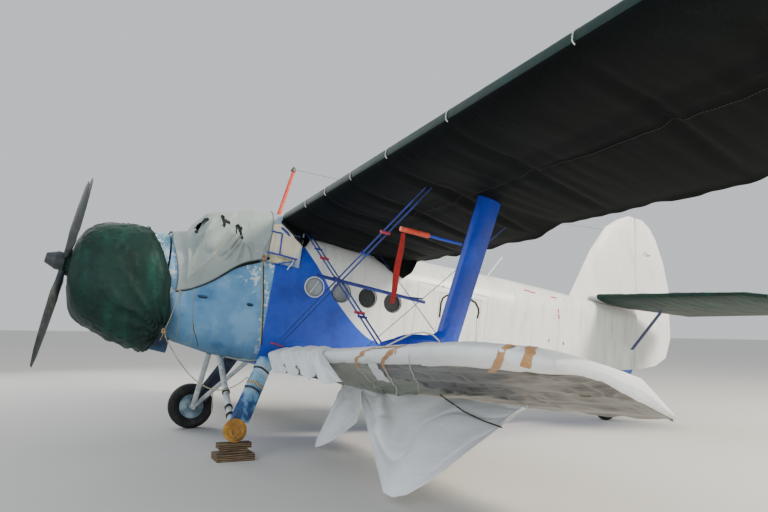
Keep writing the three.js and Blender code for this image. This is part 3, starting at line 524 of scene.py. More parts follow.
def cover_point(turn, t):
    # The edge depends on the height and the height on the section, so both settle in three rounds
    s = 1.6
    for _ in range(3):
        ring, lengths = round_cover(s)
        x, z = point_along(ring, lengths, lengths[-1] * turn / AROUND)
        s = COVER_FRONT + (curved(COVER_EDGE, z) - COVER_FRONT) * t
    middle = -0.03 - 0.12 * t
    out = Vector((x, 0, z - middle)).normalized()
    gather = smooth_step(0.80, 1.0, t)
    away = math.hypot(s - KNOT_S, z - KNOT_Z)
    bearing = math.atan2(z - KNOT_Z, KNOT_S - s)
    fan = (0.5 + 0.5 * math.sin(bearing * FAN_FOLDS + 1.8 * ripple((0, s, z), 0.5, 3))) ** 2.4
    fan *= (math.exp(-away / 0.50) + 0.25 * math.exp(-away / 1.4)) * smooth_step(0.02, 0.16, away)
    pleats = math.sin(turn / AROUND * math.tau * GATHER_PLEATS + 2.2 * ripple((x, s, z), 0.4, 9)) * gather
    soft = ripple((x, s * 0.6, z), 0.33, 1) * 0.020 + ripple((x, s * 1.4, z), 0.11, 5) * 0.005
    crease = abs(ripple((x * 1.3, s * 0.5, z * 1.3), 0.19, 11))
    lift = 0.004 + soft * (1 - 0.5 * gather) + 0.056 * fan + 0.006 * pleats
    lift += 0.014 * (1 - smooth_step(0.0, 0.13, crease))
    lift -= 0.014 * math.exp(-((t - ROPE_AT) / 0.03) ** 2)
    return level(x + out.x * lift, s, z + out.z * lift)


cover_rows = [[cover_point(turn, t / ALONG) for turn in range(AROUND)] for t in range(ALONG + 1)]
# s and share of the first ring's size, from the bag's front to the hub
NECK = [
    (0.470, 0.93), (0.462, 0.80), (0.455, 0.66), (0.450, 0.565), (0.425, 0.53), (0.395, 0.545),
    (0.372, 0.60),
]
neck_rows = []
first_ring = spaced(round_cover(COVER_FRONT)[0], AROUND + 1)[:-1]
for s, share in reversed(NECK):
    crimps = [1 + 0.11 * math.sin(turn * math.tau / AROUND * NECK_PLEATS) * (1 - share)
        for turn in range(AROUND)]
    neck_rows.append([level(x * share * crimp, s, (z + 0.015) * share * crimp)
        for crimp, (x, z) in zip(crimps, first_ring)])
engine_bag = grid_piece("engine_cover_bag", neck_rows + cover_rows, green_cloth, closed=True)


def rope_on_cover(name, t, radius):
    return rope(name, [cover_point(turn % AROUND, t) for turn in range(AROUND + 1)], radius, hem_green)


on_cover = [rope_on_cover("engine_cover_hem", 1.0, 0.009),
    rope_on_cover("engine_cover_gather_rope", ROPE_AT, 0.006)]
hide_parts("engine_cover")

# %% [markdown]
# The cockpit wears a weathered canvas sheet. It is tied at its lower hem and spans from the nose
# panels up over the windscreen and the canopy like a tent, touching only what sticks out. That is
# the convex outline round both forms, so at each station the sheet follows the hull of the nose and
# canopy sections, then sags a little between them. Its hem climbs from the nose to the canopy sill.

# %% Cockpit canvas
# s and z of the lower hem on both sides
CANVAS_HEM = [
    (1.930, -0.180), (1.985, -0.160), (2.150, -0.095), (2.405, 0.074), (2.770, 0.396), (3.089, 0.541),
    (3.240, 0.604),
]
CANVAS_FRONT, CANVAS_REAR = 1.930, 3.155
OFF_NOSE, OFF_CANOPY = 0.014, 0.016
# Where the canopy's first station stands, and where the sheet starts to rise to it
CANOPY_START, RISE_START, RISE_END = 2.15, 2.02, 2.30
# How much further forward the front edge lies on top than at the hem
CANVAS_LEAD = 0.15
CANVAS_ROWS, CANVAS_COLUMNS = 150, 220
HALF_COLUMNS = CANVAS_COLUMNS // 2
SMOOTH_ROUNDS, SMOOTH_SHARE = 16, 0.6


def hull(points):
    ordered = sorted(set(points))

    def chain(run):
        kept = []
        for p in run:
            while len(kept) > 1 and ((kept[-1][0] - kept[-2][0]) * (p[1] - kept[-2][1])
                    - (kept[-1][1] - kept[-2][1]) * (p[0] - kept[-2][0])) <= 0:
                kept.pop()
            kept.append(p)
        return kept

    low, high = chain(ordered), chain(ordered[::-1])
    return low[:-1] + high[:-1]


def canvas_outline(s):
    points = section(NOSE, s, grow=OFF_NOSE)
    rise = smooth_step(RISE_START, RISE_END, s)
    if s > CANOPY_START:
        points += section(CANOPY, s, grow=OFF_CANOPY)
    elif rise > 0:
        lead = section(CANOPY, CANOPY_START, grow=OFF_CANOPY)
        points += [(x * (0.93 + 0.07 * rise), z * (0.90 + 0.10 * rise)) for x, z in lead]
    return hull([(round(x, 5), round(z, 5)) for x, z in points])


def half_girth(s):
    ring = canvas_outline(s)
    top = max(z for x, z in ring)
    right_side = sorted([(x, z) for x, z in ring if x > 0.001], key=lambda p: math.atan2(p[0], p[1] - 0.2))
    route = [(0.0, top)] + right_side
    hem = curved(CANVAS_HEM, s)
    cut = [route[0]]
    for a, b in zip(route, route[1:]):
        if b[1] <= hem < a[1]:
            t = (a[1] - hem) / (a[1] - b[1])
            cut.append((a[0] + (b[0] - a[0]) * t, hem))
            break
        cut.append(b)
    return cut


STATIONS = 80
STATION_START = CANVAS_FRONT - CANVAS_LEAD
STATION_REACH = CANVAS_REAR - STATION_START
station_rows = [spaced(half_girth(STATION_START + STATION_REACH * k / STATIONS), HALF_COLUMNS + 1)
    for k in range(STATIONS + 1)]


def canvas_at(s, count):
    reach = (s - STATION_START) / STATION_REACH * STATIONS
    k = min(STATIONS - 1, max(0, int(reach)))
    a, b = station_rows[k][count], station_rows[k + 1][count]
    return tuple(p + (q - p) * (reach - k) for p, q in zip(a, b))


canvas_flat = []
for i in range(CANVAS_ROWS + 1):
    row = []
    for j in range(CANVAS_COLUMNS + 1):
        count = abs(j - HALF_COLUMNS)
        front = CANVAS_FRONT - CANVAS_LEAD * (1 - smooth_step(0.35, 0.95, count / HALF_COLUMNS))
        s = front + (CANVAS_REAR - front) * i / CANVAS_ROWS
        x, z = canvas_at(s, count)
        row.append(Vector((x if j > HALF_COLUMNS else -x, s, z)))
    canvas_flat.append(row)
for _ in range(SMOOTH_ROUNDS):
    smoothed = [[p.copy() for p in row] for row in canvas_flat]
    for i in range(1, CANVAS_ROWS):
        for j in range(1, CANVAS_COLUMNS):
            around = (canvas_flat[i - 1][j] + canvas_flat[i + 1][j] + canvas_flat[i][j - 1]
                + canvas_flat[i][j + 1]) / 4
            smoothed[i][j] = canvas_flat[i][j].lerp(around, SMOOTH_SHARE)
    canvas_flat = smoothed


def grid_normal(rows, i, j):
    down = rows[min(i + 1, len(rows) - 1)][j] - rows[max(i - 1, 0)][j]
    across = rows[i][min(j + 1, len(rows[0]) - 1)] - rows[i][max(j - 1, 0)]
    return across.cross(down).normalized()


# How far the frame under it pushes the sheet up ahead of the windscreen, where, and over what length
SHOULDER, SHOULDER_S, SHOULDER_HALF = 0.085, 2.25, 0.13
RIDGE_GAIN, VALLEY_GAIN = 2.3, 1.1
# Two ends of each slit, as s and z on the left side, and half its width
TEARS = [
    ((2.225, 0.925), (2.070, 0.745), 0.026), ((2.392, 1.050), (2.417, 0.915), 0.022),
    ((2.417, 0.980), (2.480, 0.980), 0.022), ((2.612, 0.950), (2.655, 0.927), 0.042),
    ((2.648, 0.925), (2.710, 0.785), 0.022), ((2.602, 0.905), (2.617, 0.845), 0.013),
]
# Start and end of each fold, its height out of the cloth and its half width
FOLDS = [
    ((2.702, 0.839), (2.574, 0.554), -0.040, 0.022), ((2.574, 0.554), (2.413, 0.386), -0.018, 0.030),
    ((2.640, 0.851), (2.470, 0.480), 0.036, 0.034), ((2.573, 0.820), (2.391, 0.431), -0.022, 0.026),
    ((2.560, 0.898), (2.300, 0.480), 0.028, 0.045), ((2.719, 0.738), (2.521, 0.357), -0.022, 0.024),
    ((2.705, 0.805), (2.540, 0.420), 0.030, 0.022), ((2.751, 0.732), (2.800, 0.444), -0.016, 0.016),
    ((2.735, 0.758), (2.700, 0.420), 0.022, 0.024), ((2.775, 0.734), (2.900, 0.500), 0.020, 0.028),
    ((2.800, 0.685), (3.067, 0.598), -0.020, 0.020), ((2.790, 0.746), (3.090, 0.699), 0.018, 0.030),
    ((2.698, 0.948), (2.785, 1.030), -0.014, 0.018), ((2.785, 1.030), (3.136, 1.125), -0.012, 0.018),
    ((2.600, 1.180), (2.050, 0.550), 0.022, 0.040), ((2.300, 0.960), (2.020, 0.200), 0.020, 0.030),
    ((2.400, 0.500), (2.050, 0.020), 0.020, 0.070), ((2.000, 0.600), (2.060, -0.100), 0.016, 0.030),
    ((3.210, 1.160), (3.050, 0.617), 0.014, 0.030),
]


# The right side has no tear, so it counts as far from all
FAR = 9.0


def from_line(s, z, start, end):
    ds, dz = end[0] - start[0], end[1] - start[1]
    t = ((s - start[0]) * ds + (z - start[1]) * dz) / (ds * ds + dz * dz)
    near = min(1.0, max(0.0, t))
    return t, math.hypot(s - start[0] - ds * near, z - start[1] - dz * near)


def fold_at(s, z):
    lift = 0.0
    for start, end, tall, wide in FOLDS:
        t, off = from_line(s, z, start, end)
        if -0.05 < t < 1.1:
            spread = wide * (0.40 + 0.75 * max(0.0, t))
            ends = smooth_step(-0.05, 0.15, t) * (1 - smooth_step(0.8, 1.1, t))
            lift += tall * (RIDGE_GAIN if tall > 0 else VALLEY_GAIN) * math.exp(
                -(off / spread) ** 1.4) * ends
    return lift


def from_tear(p):
    if p.x < 0:
        return FAR
    return min(from_line(p.y, p.z, start, end)[1] / wide for start, end, wide in TEARS)


def torn(i, j):
    p = canvas_flat[i][j]
    return from_tear(p) < 0.9 + 0.3 * ripple(p, 0.04, 5)


def canvas_place(i, j, under=0.0):
    p = canvas_flat[i][j]
    out = grid_normal(canvas_flat, i, j)
    if out.dot(Vector((p.x, 0, p.z - 0.2))) < 0:
        out = -out
    edge = min(1.0, min(i, CANVAS_ROWS - i) / 8)
    lift = fold_at(p.y, p.z) * (1.0 if p.x > 0 else 0.7) * (0.3 + 0.7 * edge)
    lift += SHOULDER * math.exp(-((p.y - SHOULDER_S) / SHOULDER_HALF) ** 2) * smooth_step(0.30, 0.80, p.z)
    lift += 0.010 * ripple(p, 0.30, 4) + 0.004 * ripple(p, 0.09, 7)
    lift += 0.012 * math.exp(-((from_tear(p) - 1.2) / 0.4) ** 2)
    return level(*(p + out * (lift + 0.004 - under)))


canvas_rows = [[canvas_place(i, j) for j in range(CANVAS_COLUMNS + 1)] for i in range(CANVAS_ROWS + 1)]
cockpit_canvas = grid_piece("cockpit_canvas_sheet", canvas_rows, grey_canvas, hole=torn)
# A dark sheet under the tears on the left side paints the shade that shows through them
TEAR_SHADE_ROWS, TEAR_SHADE_COLUMNS, TEAR_SHADE_UNDER = range(14, 116), range(152, 206), 0.014
tear_shade_rows = [[canvas_place(i, j, TEAR_SHADE_UNDER) for j in TEAR_SHADE_COLUMNS] for i in TEAR_SHADE_ROWS]
tear_shade_sheet = grid_piece("cockpit_canvas_tear_shade", tear_shade_rows, black_webbing_and_shade)
rim = [row[0] for row in reversed(canvas_rows)] + canvas_rows[0][1:-1]
rim += [row[-1] for row in canvas_rows] + canvas_rows[-1][-2:0:-1]
canvas_hem = rope("cockpit_canvas_hem", rim + [rim[0]], 0.009, hem_grey)
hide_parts("cockpit_cover")

# %% [markdown]
# Both pairs of wings are in bags. A bag is one long sheet, folded round the leading edge from root to
# tip, laced along the trailing edge and tied round the chord at intervals. Each thread across it is a
# wing section, a little larger than the wing, so the same section rule that shapes a wing shapes its
# bag. Between two ties the slack cloth under the wing hangs lower, and at each tie the cord pulls a
# pinch into both edges.

# %% Wing sections
CHORD_POINTS = [
    0.0, 0.004, 0.012, 0.025, 0.035, 0.045, 0.055, 0.07, 0.085, 0.10, 0.12, 0.14, 0.16, 0.18, 0.20,
    *[0.22 + 0.022 * k for k in range(33)], 0.945, 0.965, 0.98, 0.992, 1.0,
]
# x, trailing edge, droop of the rear third, thickness, set-back of the leading edge, sink
UPPER_WING = [
    (0.800, 5.750, 0.160, 0.350, 0.0, 0.0), (3.500, 5.750, 0.275, 0.345, 0.0, 0.0),
    (4.250, 5.750, 0.270, 0.345, 0.0, 0.0), (4.600, 5.750, 0.200, 0.345, 0.0, 0.0),
    (7.000, 5.750, 0.280, 0.335, 0.0, 0.0), (8.300, 5.740, 0.280, 0.320, 0.0, 0.0),
    (8.800, 5.600, 0.200, 0.250, 0.090, 0.0), (9.045, 5.300, 0.110, 0.130, 0.330, 0.0),
]
LOWER_WING = [
    (0.885, 5.560, 0.140, 0.270, 0.0, 0.0), (2.600, 5.560, 0.225, 0.265, 0.0, 0.0),
    (4.700, 5.560, 0.225, 0.250, 0.0, 0.0), (6.100, 5.550, 0.220, 0.225, 0.0, 0.0),
    (6.750, 5.440, 0.205, 0.165, 0.090, 0.025), (7.060, 5.150, 0.170, 0.090, 0.330, 0.070),
]
WINGS = {
    "upper": {"table": UPPER_WING, "lead": 3.340, "rise": 2.97, "base": 1.250, "fall": 0.040,
        "camber": 0.055, "ties": [1.85, 2.63, 3.50, 4.50, 5.80, 7.56, 8.62], "end": (8.75, 9.06),
        "seed": 21},
    "lower": {"table": LOWER_WING, "lead": 3.550, "rise": 3.05, "base": -0.975, "fall": 0.090,
        "camber": 0.024, "ties": [1.45, 2.15, 2.85, 4.05, 4.75, 5.35, 6.70], "end": (6.85, 7.08),
        "seed": 31},
}
# The CAD wing is flat between these shares of its chord
PANEL_STEPS = [0.0, 0.03, 0.1, 0.25, 0.45, 0.7, 0.85, 1.0]
DROOP_FROM = 0.7
LEAST_HALF = 0.006


def half_section(thick, f):
    return max(LEAST_HALF, 5 * thick * (0.2969 * math.sqrt(f) - 0.126 * f - 0.3516 * f ** 2
        + 0.2843 * f ** 3 - 0.1015 * f ** 4))


def wing_curve(wing, x, f, side):
    droop, thick, sink = (between(wing["table"], x, k) for k in (2, 3, 5))
    bend = droop * max(0.0, (f - DROOP_FROM) / (1 - DROOP_FROM))
    middle = wing["base"] + x * math.tan(math.radians(wing["rise"])) - sink - wing["fall"] * f
    return middle + wing["camber"] * 4 * f * (1 - f) - bend + side * half_section(thick, f)


def wing_at(which, x, f, side, grow=0.0):
    wing = WINGS[which]
    lead, trail = wing["lead"] + between(wing["table"], x, 4), between(wing["table"], x, 1)
    z = wing_curve(wing, x, f, side)
    for a, b in zip(PANEL_STEPS, PANEL_STEPS[1:]):
        if a < f < b:
            low, high = wing_curve(wing, x, a, side), wing_curve(wing, x, b, side)
            straight = low + (high - low) * (f - a) / (b - a)
            z = max(z, straight) if side > 0 else min(z, straight)
    return lead - grow + f * (trail - lead + 2 * grow), z + side * grow


# %% Wing bags
# x and the share of the chord below which the underside is drawn soiled and darkened as painted shade
SOIL_AND_SHADE_EDGE = [(0.9, 0.03), (3.4, 0.04), (4.8, 0.075), (5.6, 0.09), (6.2, 0.12), (6.6, 0.16), (7.08, 0.20)]
ROOT_SHADE_TO = 4.05
CLOTH_OFF = 0.014
# From this share of the chord the cloth under the wing spans straight to the trailing edge
TAUT_FROM = 0.38
LACING = 0.035
# The ties of the upper bag run this far inboard on their way back, those of the lower bag outboard
TIE_SLANT, LOWER_SLANT = 0.34, 0.25


def nearest_tie(which, x, drift=0.0):
    return min((x - tie + drift for tie in WINGS[which]["ties"]), key=abs)


def hang_between(which, x):
    ties = WINGS[which]["ties"]
    marks = [ties[0] - 0.8, *ties, ties[-1] + 0.8]
    for a, b in zip(marks, marks[1:]):
        if a <= x <= b:
            return math.sin(math.pi * (x - a) / (b - a))
    return 0.0


def under_upper(x, f, way):
    gap = nearest_tie("upper", x, TIE_SLANT * f)
    valley = math.exp(-(abs(gap) / 0.055) ** 1.3)
    shoulder = math.exp(-((abs(gap) - 0.13) / 0.09) ** 2)
    hang = hang_between("upper", min(9.0, x + TIE_SLANT * f))
    bow = math.sin(math.pi * min(1.0, f / 0.97)) ** 0.6
    sag = bow * (0.016 + 0.040 * hang + 0.022 * shoulder - 0.030 * valley)
    rib = ripple((way * x * 1.9 + f * 0.3, f * 0.5, 0), 0.33, 3)
    small = ripple((way * x * 4.5 + f, f * 1.4, 0), 0.33, 6)
    sag += bow * (0.014 * rib + 0.004 * small) * (1 - 0.6 * valley)
    seam = math.exp(-((f - 0.485) / 0.012) ** 2)
    sag -= 0.012 * seam * (1 if 2.6 < x < 8.9 else 0)
    puckers = math.sin(x * math.tau / 0.085 + 3 * ripple((x, 0, 0), 0.5, 8))
    sag += 0.004 * puckers * math.exp(-((f - 0.035) / 0.022) ** 2) * (0.4 + abs(rib))
    sag += 0.10 * bow * (1 - smooth_step(0.95, 1.75, x))
    return max(0.0, sag)


def under_lower(x, f, way):
    gap = nearest_tie("lower", x, -LOWER_SLANT * f)
    valley = math.exp(-(abs(gap) / 0.05) ** 1.4)
    bow = math.sin(math.pi * min(1.0, f / 0.97)) ** 0.6
    long_folds = ripple((way * x * 0.25 + f * 0.4, f * 4.5, 0), 0.5, 4)
    sharp_folds = 1 - smooth_step(0.0, 0.22, abs(ripple((way * x * 0.32 + f, f * 5.5, 0), 0.62, 12)))
    crumple = ripple((way * x * 1.6, f * 3.2, 0), 0.35, 14)
    belly = 0.11 * math.exp(-((x - 2.9) / 0.9) ** 2) * math.sin(math.pi * min(1.0, f / 0.9)) ** 1.2
    crinkle = 1 - smooth_step(0.0, 0.16, abs(ripple((way * x * 0.45 + f, f * 4.6, 0), 0.45, 19)))
    sag = bow * (0.034 + 0.036 * long_folds + 0.026 * sharp_folds + 0.006 * crumple
        + 0.014 * crinkle - 0.012 * valley)
    pinch = 0.020 * math.exp(-((f - between(SOIL_AND_SHADE_EDGE, x)) / 0.022) ** 2)
    return max(0.0, sag + belly * (1 if way > 0 else 0.5) - pinch)


def over_wing(which, x, f, way):
    seed = WINGS[which]["seed"]
    gap = nearest_tie(which, x)
    crossing = ripple((way * x * 3.0, f * 0.9, 0), 0.34, seed)
    broad = ripple((way * x, f * 2.0, 0), 0.6, seed + 2)
    tight = 1 - 0.7 * math.exp(-(gap / 0.06) ** 2)
    lift = 0.004 + tight * (0.006 * crossing + 0.005 * broad)
    if which == "lower":
        slant = math.sin((x + 0.55 * f) * math.tau / 0.19 + 2.5 * ripple((x, f * 3, 0), 0.4, 17))
        lift += 0.014 * (0.6 + slant) * (1 - smooth_step(2.4, 3.3, x)) * math.exp(-(f / 0.22) ** 2)
        near_tip = smooth_step(5.6, 7.0, x) * math.exp(-((f - 0.02) / 0.05) ** 2)
        lift += 0.015 * near_tip * math.sin(x * math.tau / 0.07 + 4 * ripple((x, f * 4, 0), 0.3, 5))
    return max(-0.004, lift)


def bag_point(which, x, f, side, way):
    s, z = wing_at(which, x, f, side, CLOTH_OFF)
    inside = smooth_step(0.0, 0.03, f) * (1 - smooth_step(0.97, 1.0, f))
    if side > 0:
        return s, z + over_wing(which, x, f, way) * inside
    if f > TAUT_FROM:
        front, rear = (wing_at(which, x, share, -1, CLOTH_OFF)[1] for share in (TAUT_FROM, 1.0))
        z = min(z, front + (rear - front) * (f - TAUT_FROM) / (1 - TAUT_FROM) - 0.003)
    sag = under_upper(x, f, way) if which == "upper" else under_lower(x, f, way)
    return s, z - sag * inside * (1 - 0.75 * smooth_step(*WINGS[which]["end"], x))


# Half the gap between the two lips of cloth that are laced together
LIP_HALF = 0.002
CAP_SHARES = (0.8, 0.45, 0.0)
# The underside, drawn near black as painted shade, starts just behind the upper wing's leading edge
UNDER_FROM = 0.004


def close_end(rows, way, out, shares):
    last = rows[-1]
    for share in shares:
        push = Vector((way * out * (1 - share ** 2), 0, 0))
        rows.append([((p + q) / 2).lerp(p, share) + push for p, q in zip(last, reversed(last))])


def wing_bag(which, way, inner, outer, step, material):
    rows = []
    count = int((outer - inner) / step)
    for k in range(count + 1):
        x = inner + (outer - inner) * k / count
        upper_side = [bag_point(which, x, f, 1, way) for f in reversed(CHORD_POINTS)]
        under_side = [bag_point(which, x, f, -1, way) for f in CHORD_POINTS]
        hang = hang_between(which, x)
        lip = (upper_side[0][1] + under_side[-1][1]) / 2
        frill = 0.016 * ripple((x, 0, way), 0.22, 2) + 0.012 * ripple((x, 0, way), 0.6, 5)
        taper = 1 - smooth_step(outer - 0.7, outer, x)
        reach = upper_side[0][0] + 0.012 + (LACING - 0.012 + 0.018 * hang + frill) * taper
        dip = 0.014 + 0.022 * hang + frill
        above, below = (reach, lip + LIP_HALF - dip), (reach - 0.004, lip - LIP_HALF - dip)
        rows.append([level(way * x, s, z) for s, z in [above, *upper_side, *under_side[1:], below]])
    close_end(rows, way, 0.022, CAP_SHARES)
    side_name = "left" if way > 0 else "right"
    return grid_piece(f"{which}_wing_bag_{side_name}", rows, material, flip=way < 0), rows


def face_under(bag, rows, outer, inner, edge):
    bag.data.materials.append(outer)
    bag.data.materials.append(inner)
    open_rows = len(rows) - len(CAP_SHARES) - 1
    for face in bag.data.polygons:
        row, column = divmod(face.index, len(rows[0]) - 1)
        place = column - len(CHORD_POINTS)
        x = abs(rows[min(row, open_rows)][0].x)
        far = math.copysign(CHORD_POINTS[min(abs(place + 1), len(CHORD_POINTS) - 1)], place + 0.5)
        if far > edge(x) and row < open_rows:
            face.material_index = 1 if x > ROOT_SHADE_TO else 2


for way, side_name in SIDES:
    upper_bag, upper_rows = wing_bag("upper", way, 0.803, 9.063, 0.026, teal_cloth)
    lower_bag, lower_rows = wing_bag("lower", way, 0.906, 7.078, 0.022, white_sheeting)
    # The upper bag's underside gets the near-black cloth, as painted shade
    face_under(upper_bag, upper_rows, shaded_cover_cloth, shaded_cover_cloth, lambda x: UNDER_FROM)
    # Under the lower bag: soiled sheeting in painted shade outboard, sheeting greyed as painted shade at the
    # root.
    face_under(lower_bag, lower_rows, soiled_and_shaded_sheeting, root_shade_sheeting, lambda x: between(SOIL_AND_SHADE_EDGE, x))
    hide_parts(f"upper_wing_cover_{side_name}")
    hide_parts(f"lower_wing_cover_{side_name}")

# %% [markdown]
# Cords and tapes hold the bags. Each one follows the cloth, so it is given by its places on the bag:
# how far out along the span, how far back along the chord, and which face. A cord is a round curve.
# A tape is a narrow ribbon whose two edges are looked up on the same bag, so it lies flat on it.

# %% Cords and tapes on the bags
TAPE_STEPS, LOWER_CHORD = 50, 2.0
# How far ahead and behind a tape looks to measure the cloth, as a share of the chord
LOOK = 0.004
brown_tape = coated_cloth("parcel_tape_brown_aged", [(0.3, "#8d5f35"), (0.5, "#b48450"), (0.7, "#cba273")],
    0.5, worn="#ddceb6")


def on_bag(which, x, f, way=1, off=0.004):
    # A share of the chord below zero is on the underside
    side = 1 if f >= 0 else -1
    s, z = bag_point(which, x, min(1.0, abs(f)), side, way)
    forward = off * math.exp(-(abs(f) / 0.03))
    return level(way * x, s - forward, z + side * off * (1 - math.exp(-(abs(f) / 0.01))))


def bag_cord(name, which, places, radius, material, way=1, count=60):
    rope(name, [on_bag(which, x, f, way, radius * 0.8) for x, f in spaced(places, count)], radius, material)


def bag_tape(name, places, width, material=brown_tape):
    path = spaced(places, TAPE_STEPS)
    rows = []
    for k, (x, f) in enumerate(path):
        a, b = path[max(0, k - 1)], path[min(TAPE_STEPS - 1, k + 1)]
        # Metres of cloth for a whole chord, measured where the tape lies
        reach = (on_bag("lower", x, f + LOOK) - on_bag("lower", x, f - LOOK)).length / (2 * LOOK)
        reach = max(LOWER_CHORD, reach)
        dx, df = b[0] - a[0], (b[1] - a[1]) * reach
        size = max(1e-9, math.hypot(dx, df))
        ragged = width * (0.5 + 0.06 * ripple((k * 0.35, 0, 0), 1.0, 2))
        over, back = -df / size * ragged, dx / size * ragged / reach
        rows.append([on_bag("lower", x + over * w, f + back * w, 1, 0.005) for w in (-1, -0.33, 0.33, 1)])
    return grid_piece(name, rows, material)


UPPER_SEAM = [(2.55, -0.44), (3.06, -0.44), (4.7, -0.47), (6.5, -0.50), (8.95, -0.53)]
for way, side_name in SIDES:
    for number, tie in enumerate(WINGS["upper"]["ties"]):
        places = [(tie + 0.01, 0.016), (tie, 0.0), (tie + 0.01, -0.010)]
        bag_cord(f"upper_tie_{side_name}_{number}", "upper", places, 0.006, white_cord, way, 14)
    bag_cord(f"upper_seam_{side_name}", "upper", UPPER_SEAM, 0.0035, dark_cord, way, 260)
# Width and places of each tape on the lower bag: x and the share of the chord
TAPES = {
    "tape_patch_outer": (0.060,
        [(6.73, 0.18), (6.84, 0.07), (6.918, 0.008), (6.885, -0.02), (6.844, -0.05)]),
    "tape_patch_inner": (0.062, [(6.735, 0.055), (6.756, 0.03), (6.735, 0.0), (6.63, -0.035), (6.534, -0.07),
        (6.36, -0.13), (6.21, -0.18)]),
    "tape_strap_1": (0.036, [(4.50, 0.03), (4.396, 0.006), (4.233, 0.0), (4.115, -0.004), (4.012, -0.015),
        (3.90, -0.05), (3.776, -0.09)]),
    "tape_strap_2": (0.042, [(5.16, 0.03), (5.05, 0.005), (4.88, -0.003), (4.735, -0.015), (4.558, -0.05),
        (4.42, -0.10), (4.366, -0.12)]),
    "tape_strap_top": (0.03, [(4.39, 0.012), (4.75, 0.014), (5.12, 0.016)]),
}
for name, (width, places) in TAPES.items():
    bag_tape(name, places, width)
STRIP = [(4.38, -0.02), (4.20, -0.09), (3.98, -0.18), (3.70, -0.29)]
loose_strip = bag_tape("loose_strip_white", STRIP, 0.15, white_sheeting)
# Radius, count of points and places of each white cord on the lower bag
BAG_CORDS = {
    "strap_cord_1": (0.006, 90,
        [(3.776, -0.09), (3.614, -0.18), (3.216, -0.35), (2.596, -0.6), (2.213, -0.85)]),
    "strap_cord_2": (0.009, 70, [(4.366, -0.12), (3.968, -0.26), (3.407, -0.45), (2.8, -0.62)]),
    "chord_cord_white": (0.006, 120, [(5.9, 0.9), (5.6, 0.4), (5.37, 0.05), (5.354, 0.0), (5.266, -0.025),
        (4.956, -0.12), (4.2, -0.37), (3.407, -0.62)]),
}
for name, (radius, count, places) in BAG_CORDS.items():
    bag_cord(name, "lower", places, radius, white_cord, count=count)
print("cords and tapes on the bags placed")

# %% [markdown]
# The dark rope under the wing goes on from the last cord, in front of the large loose sheet, and is
# tied to the sheet's outer corner. The white cord over the strut's foot is a plain arc.

# %% Loose ropes of the lower bag
ROPE_SPAN = [
    (3.541, 4.850, -1.000), (4.020, 4.832, -1.118), (4.452, 4.815, -1.214), (4.824, 4.834, -1.270),
    (5.140, 4.867, -1.300),
]
BAG_ROPE_RADIUS, SPAN_STEPS = 0.008, 5
span_knots = [on_bag("lower", 3.407, -0.62, 1, 0.01), *levelled(*ROPE_SPAN)]
bag_rope_route = [a.lerp(b, k / SPAN_STEPS) for a, b in zip(span_knots, span_knots[1:])
    for k in range(SPAN_STEPS)] + span_knots[-1:]
free_cord("lower_bag_rope_dark", bag_rope_route, BAG_ROPE_RADIUS, dark_cord)
# s and z of the white cord over the strut's foot, which bows outboard between its ends
FAIRING_ARC = [
    (3.50, -0.672), (3.598, -0.650), (3.70, -0.575), (3.85, -0.475), (3.998, -0.430), (4.12, -0.437),
    (4.198, -0.473), (4.282, -0.530), (4.36, -0.63),
]
ARC_LENGTH = FAIRING_ARC[-1][0] - FAIRING_ARC[0][0]
ARC_X, ARC_BOW = 4.64, 0.09
arc_route = [level(ARC_X + ARC_BOW * math.sin(math.pi * (s - FAIRING_ARC[0][0]) / ARC_LENGTH), s, z)
    for s, z in FAIRING_ARC]
rope("strut_foot_cord", arc_route, 0.009, white_cord)

# %% [markdown]
# At the root the bag isn't closed: a flap of it hangs down beside the cabin roof, heavier at the rear, drawn
# in the near-black cloth that paints the bag's shade. It is one flat piece of cloth held along its top edge,
# so it only needs a lower outline, and soft waves that grow away from the held edge.

# %% Flap of the upper bag
FLAP_LOW = [(4.60, 1.10), (4.92, 0.97), (5.25, 0.80), (5.53, 0.71), (5.66, 0.84), (5.74, 1.03)]
FLAP_COLUMNS, FLAP_DOWN = 60, 22
FLAP_X, FLAP_WAVE = 0.945, 0.27
ROOT_X, ROOT_LEAD, ROOT_CHORD = 0.86, 3.34, 2.41
for way, side_name in SIDES:
    flap_rows = []
    for i in range(FLAP_DOWN + 1):
        t = i / FLAP_DOWN
        row = []
        for j in range(FLAP_COLUMNS + 1):
            s = FLAP_LOW[0][0] + (FLAP_LOW[-1][0] - FLAP_LOW[0][0]) * j / FLAP_COLUMNS
            top = bag_point("upper", ROOT_X, min(1.0, (s - ROOT_LEAD) / ROOT_CHORD), -1, way)[1] + 0.01
            low = min(top - 0.01, between(FLAP_LOW, s))
            wave = 0.022 * t * math.sin(s * math.tau / FLAP_WAVE + 1.5 * t) + 0.02 * t
            row.append(level(way * (FLAP_X + wave), s, top + (low - top) * t))
        flap_rows.append(row)
    flap = grid_piece(f"upper_root_flap_{side_name}", flap_rows, shaded_cover_cloth)
print("wing bags finished")

# %% [markdown]
# At the root of the lower left wing the sheet is bunched up and hangs down from the leading edge in
# slanted pleats, with ragged points below. This curtain starts on top of the wing, goes over the
# leading edge and then drops free, so each column of the grid follows the wing first and gravity
# after that. The pleats are ridges across the columns, and the columns lean outboard as they go down.

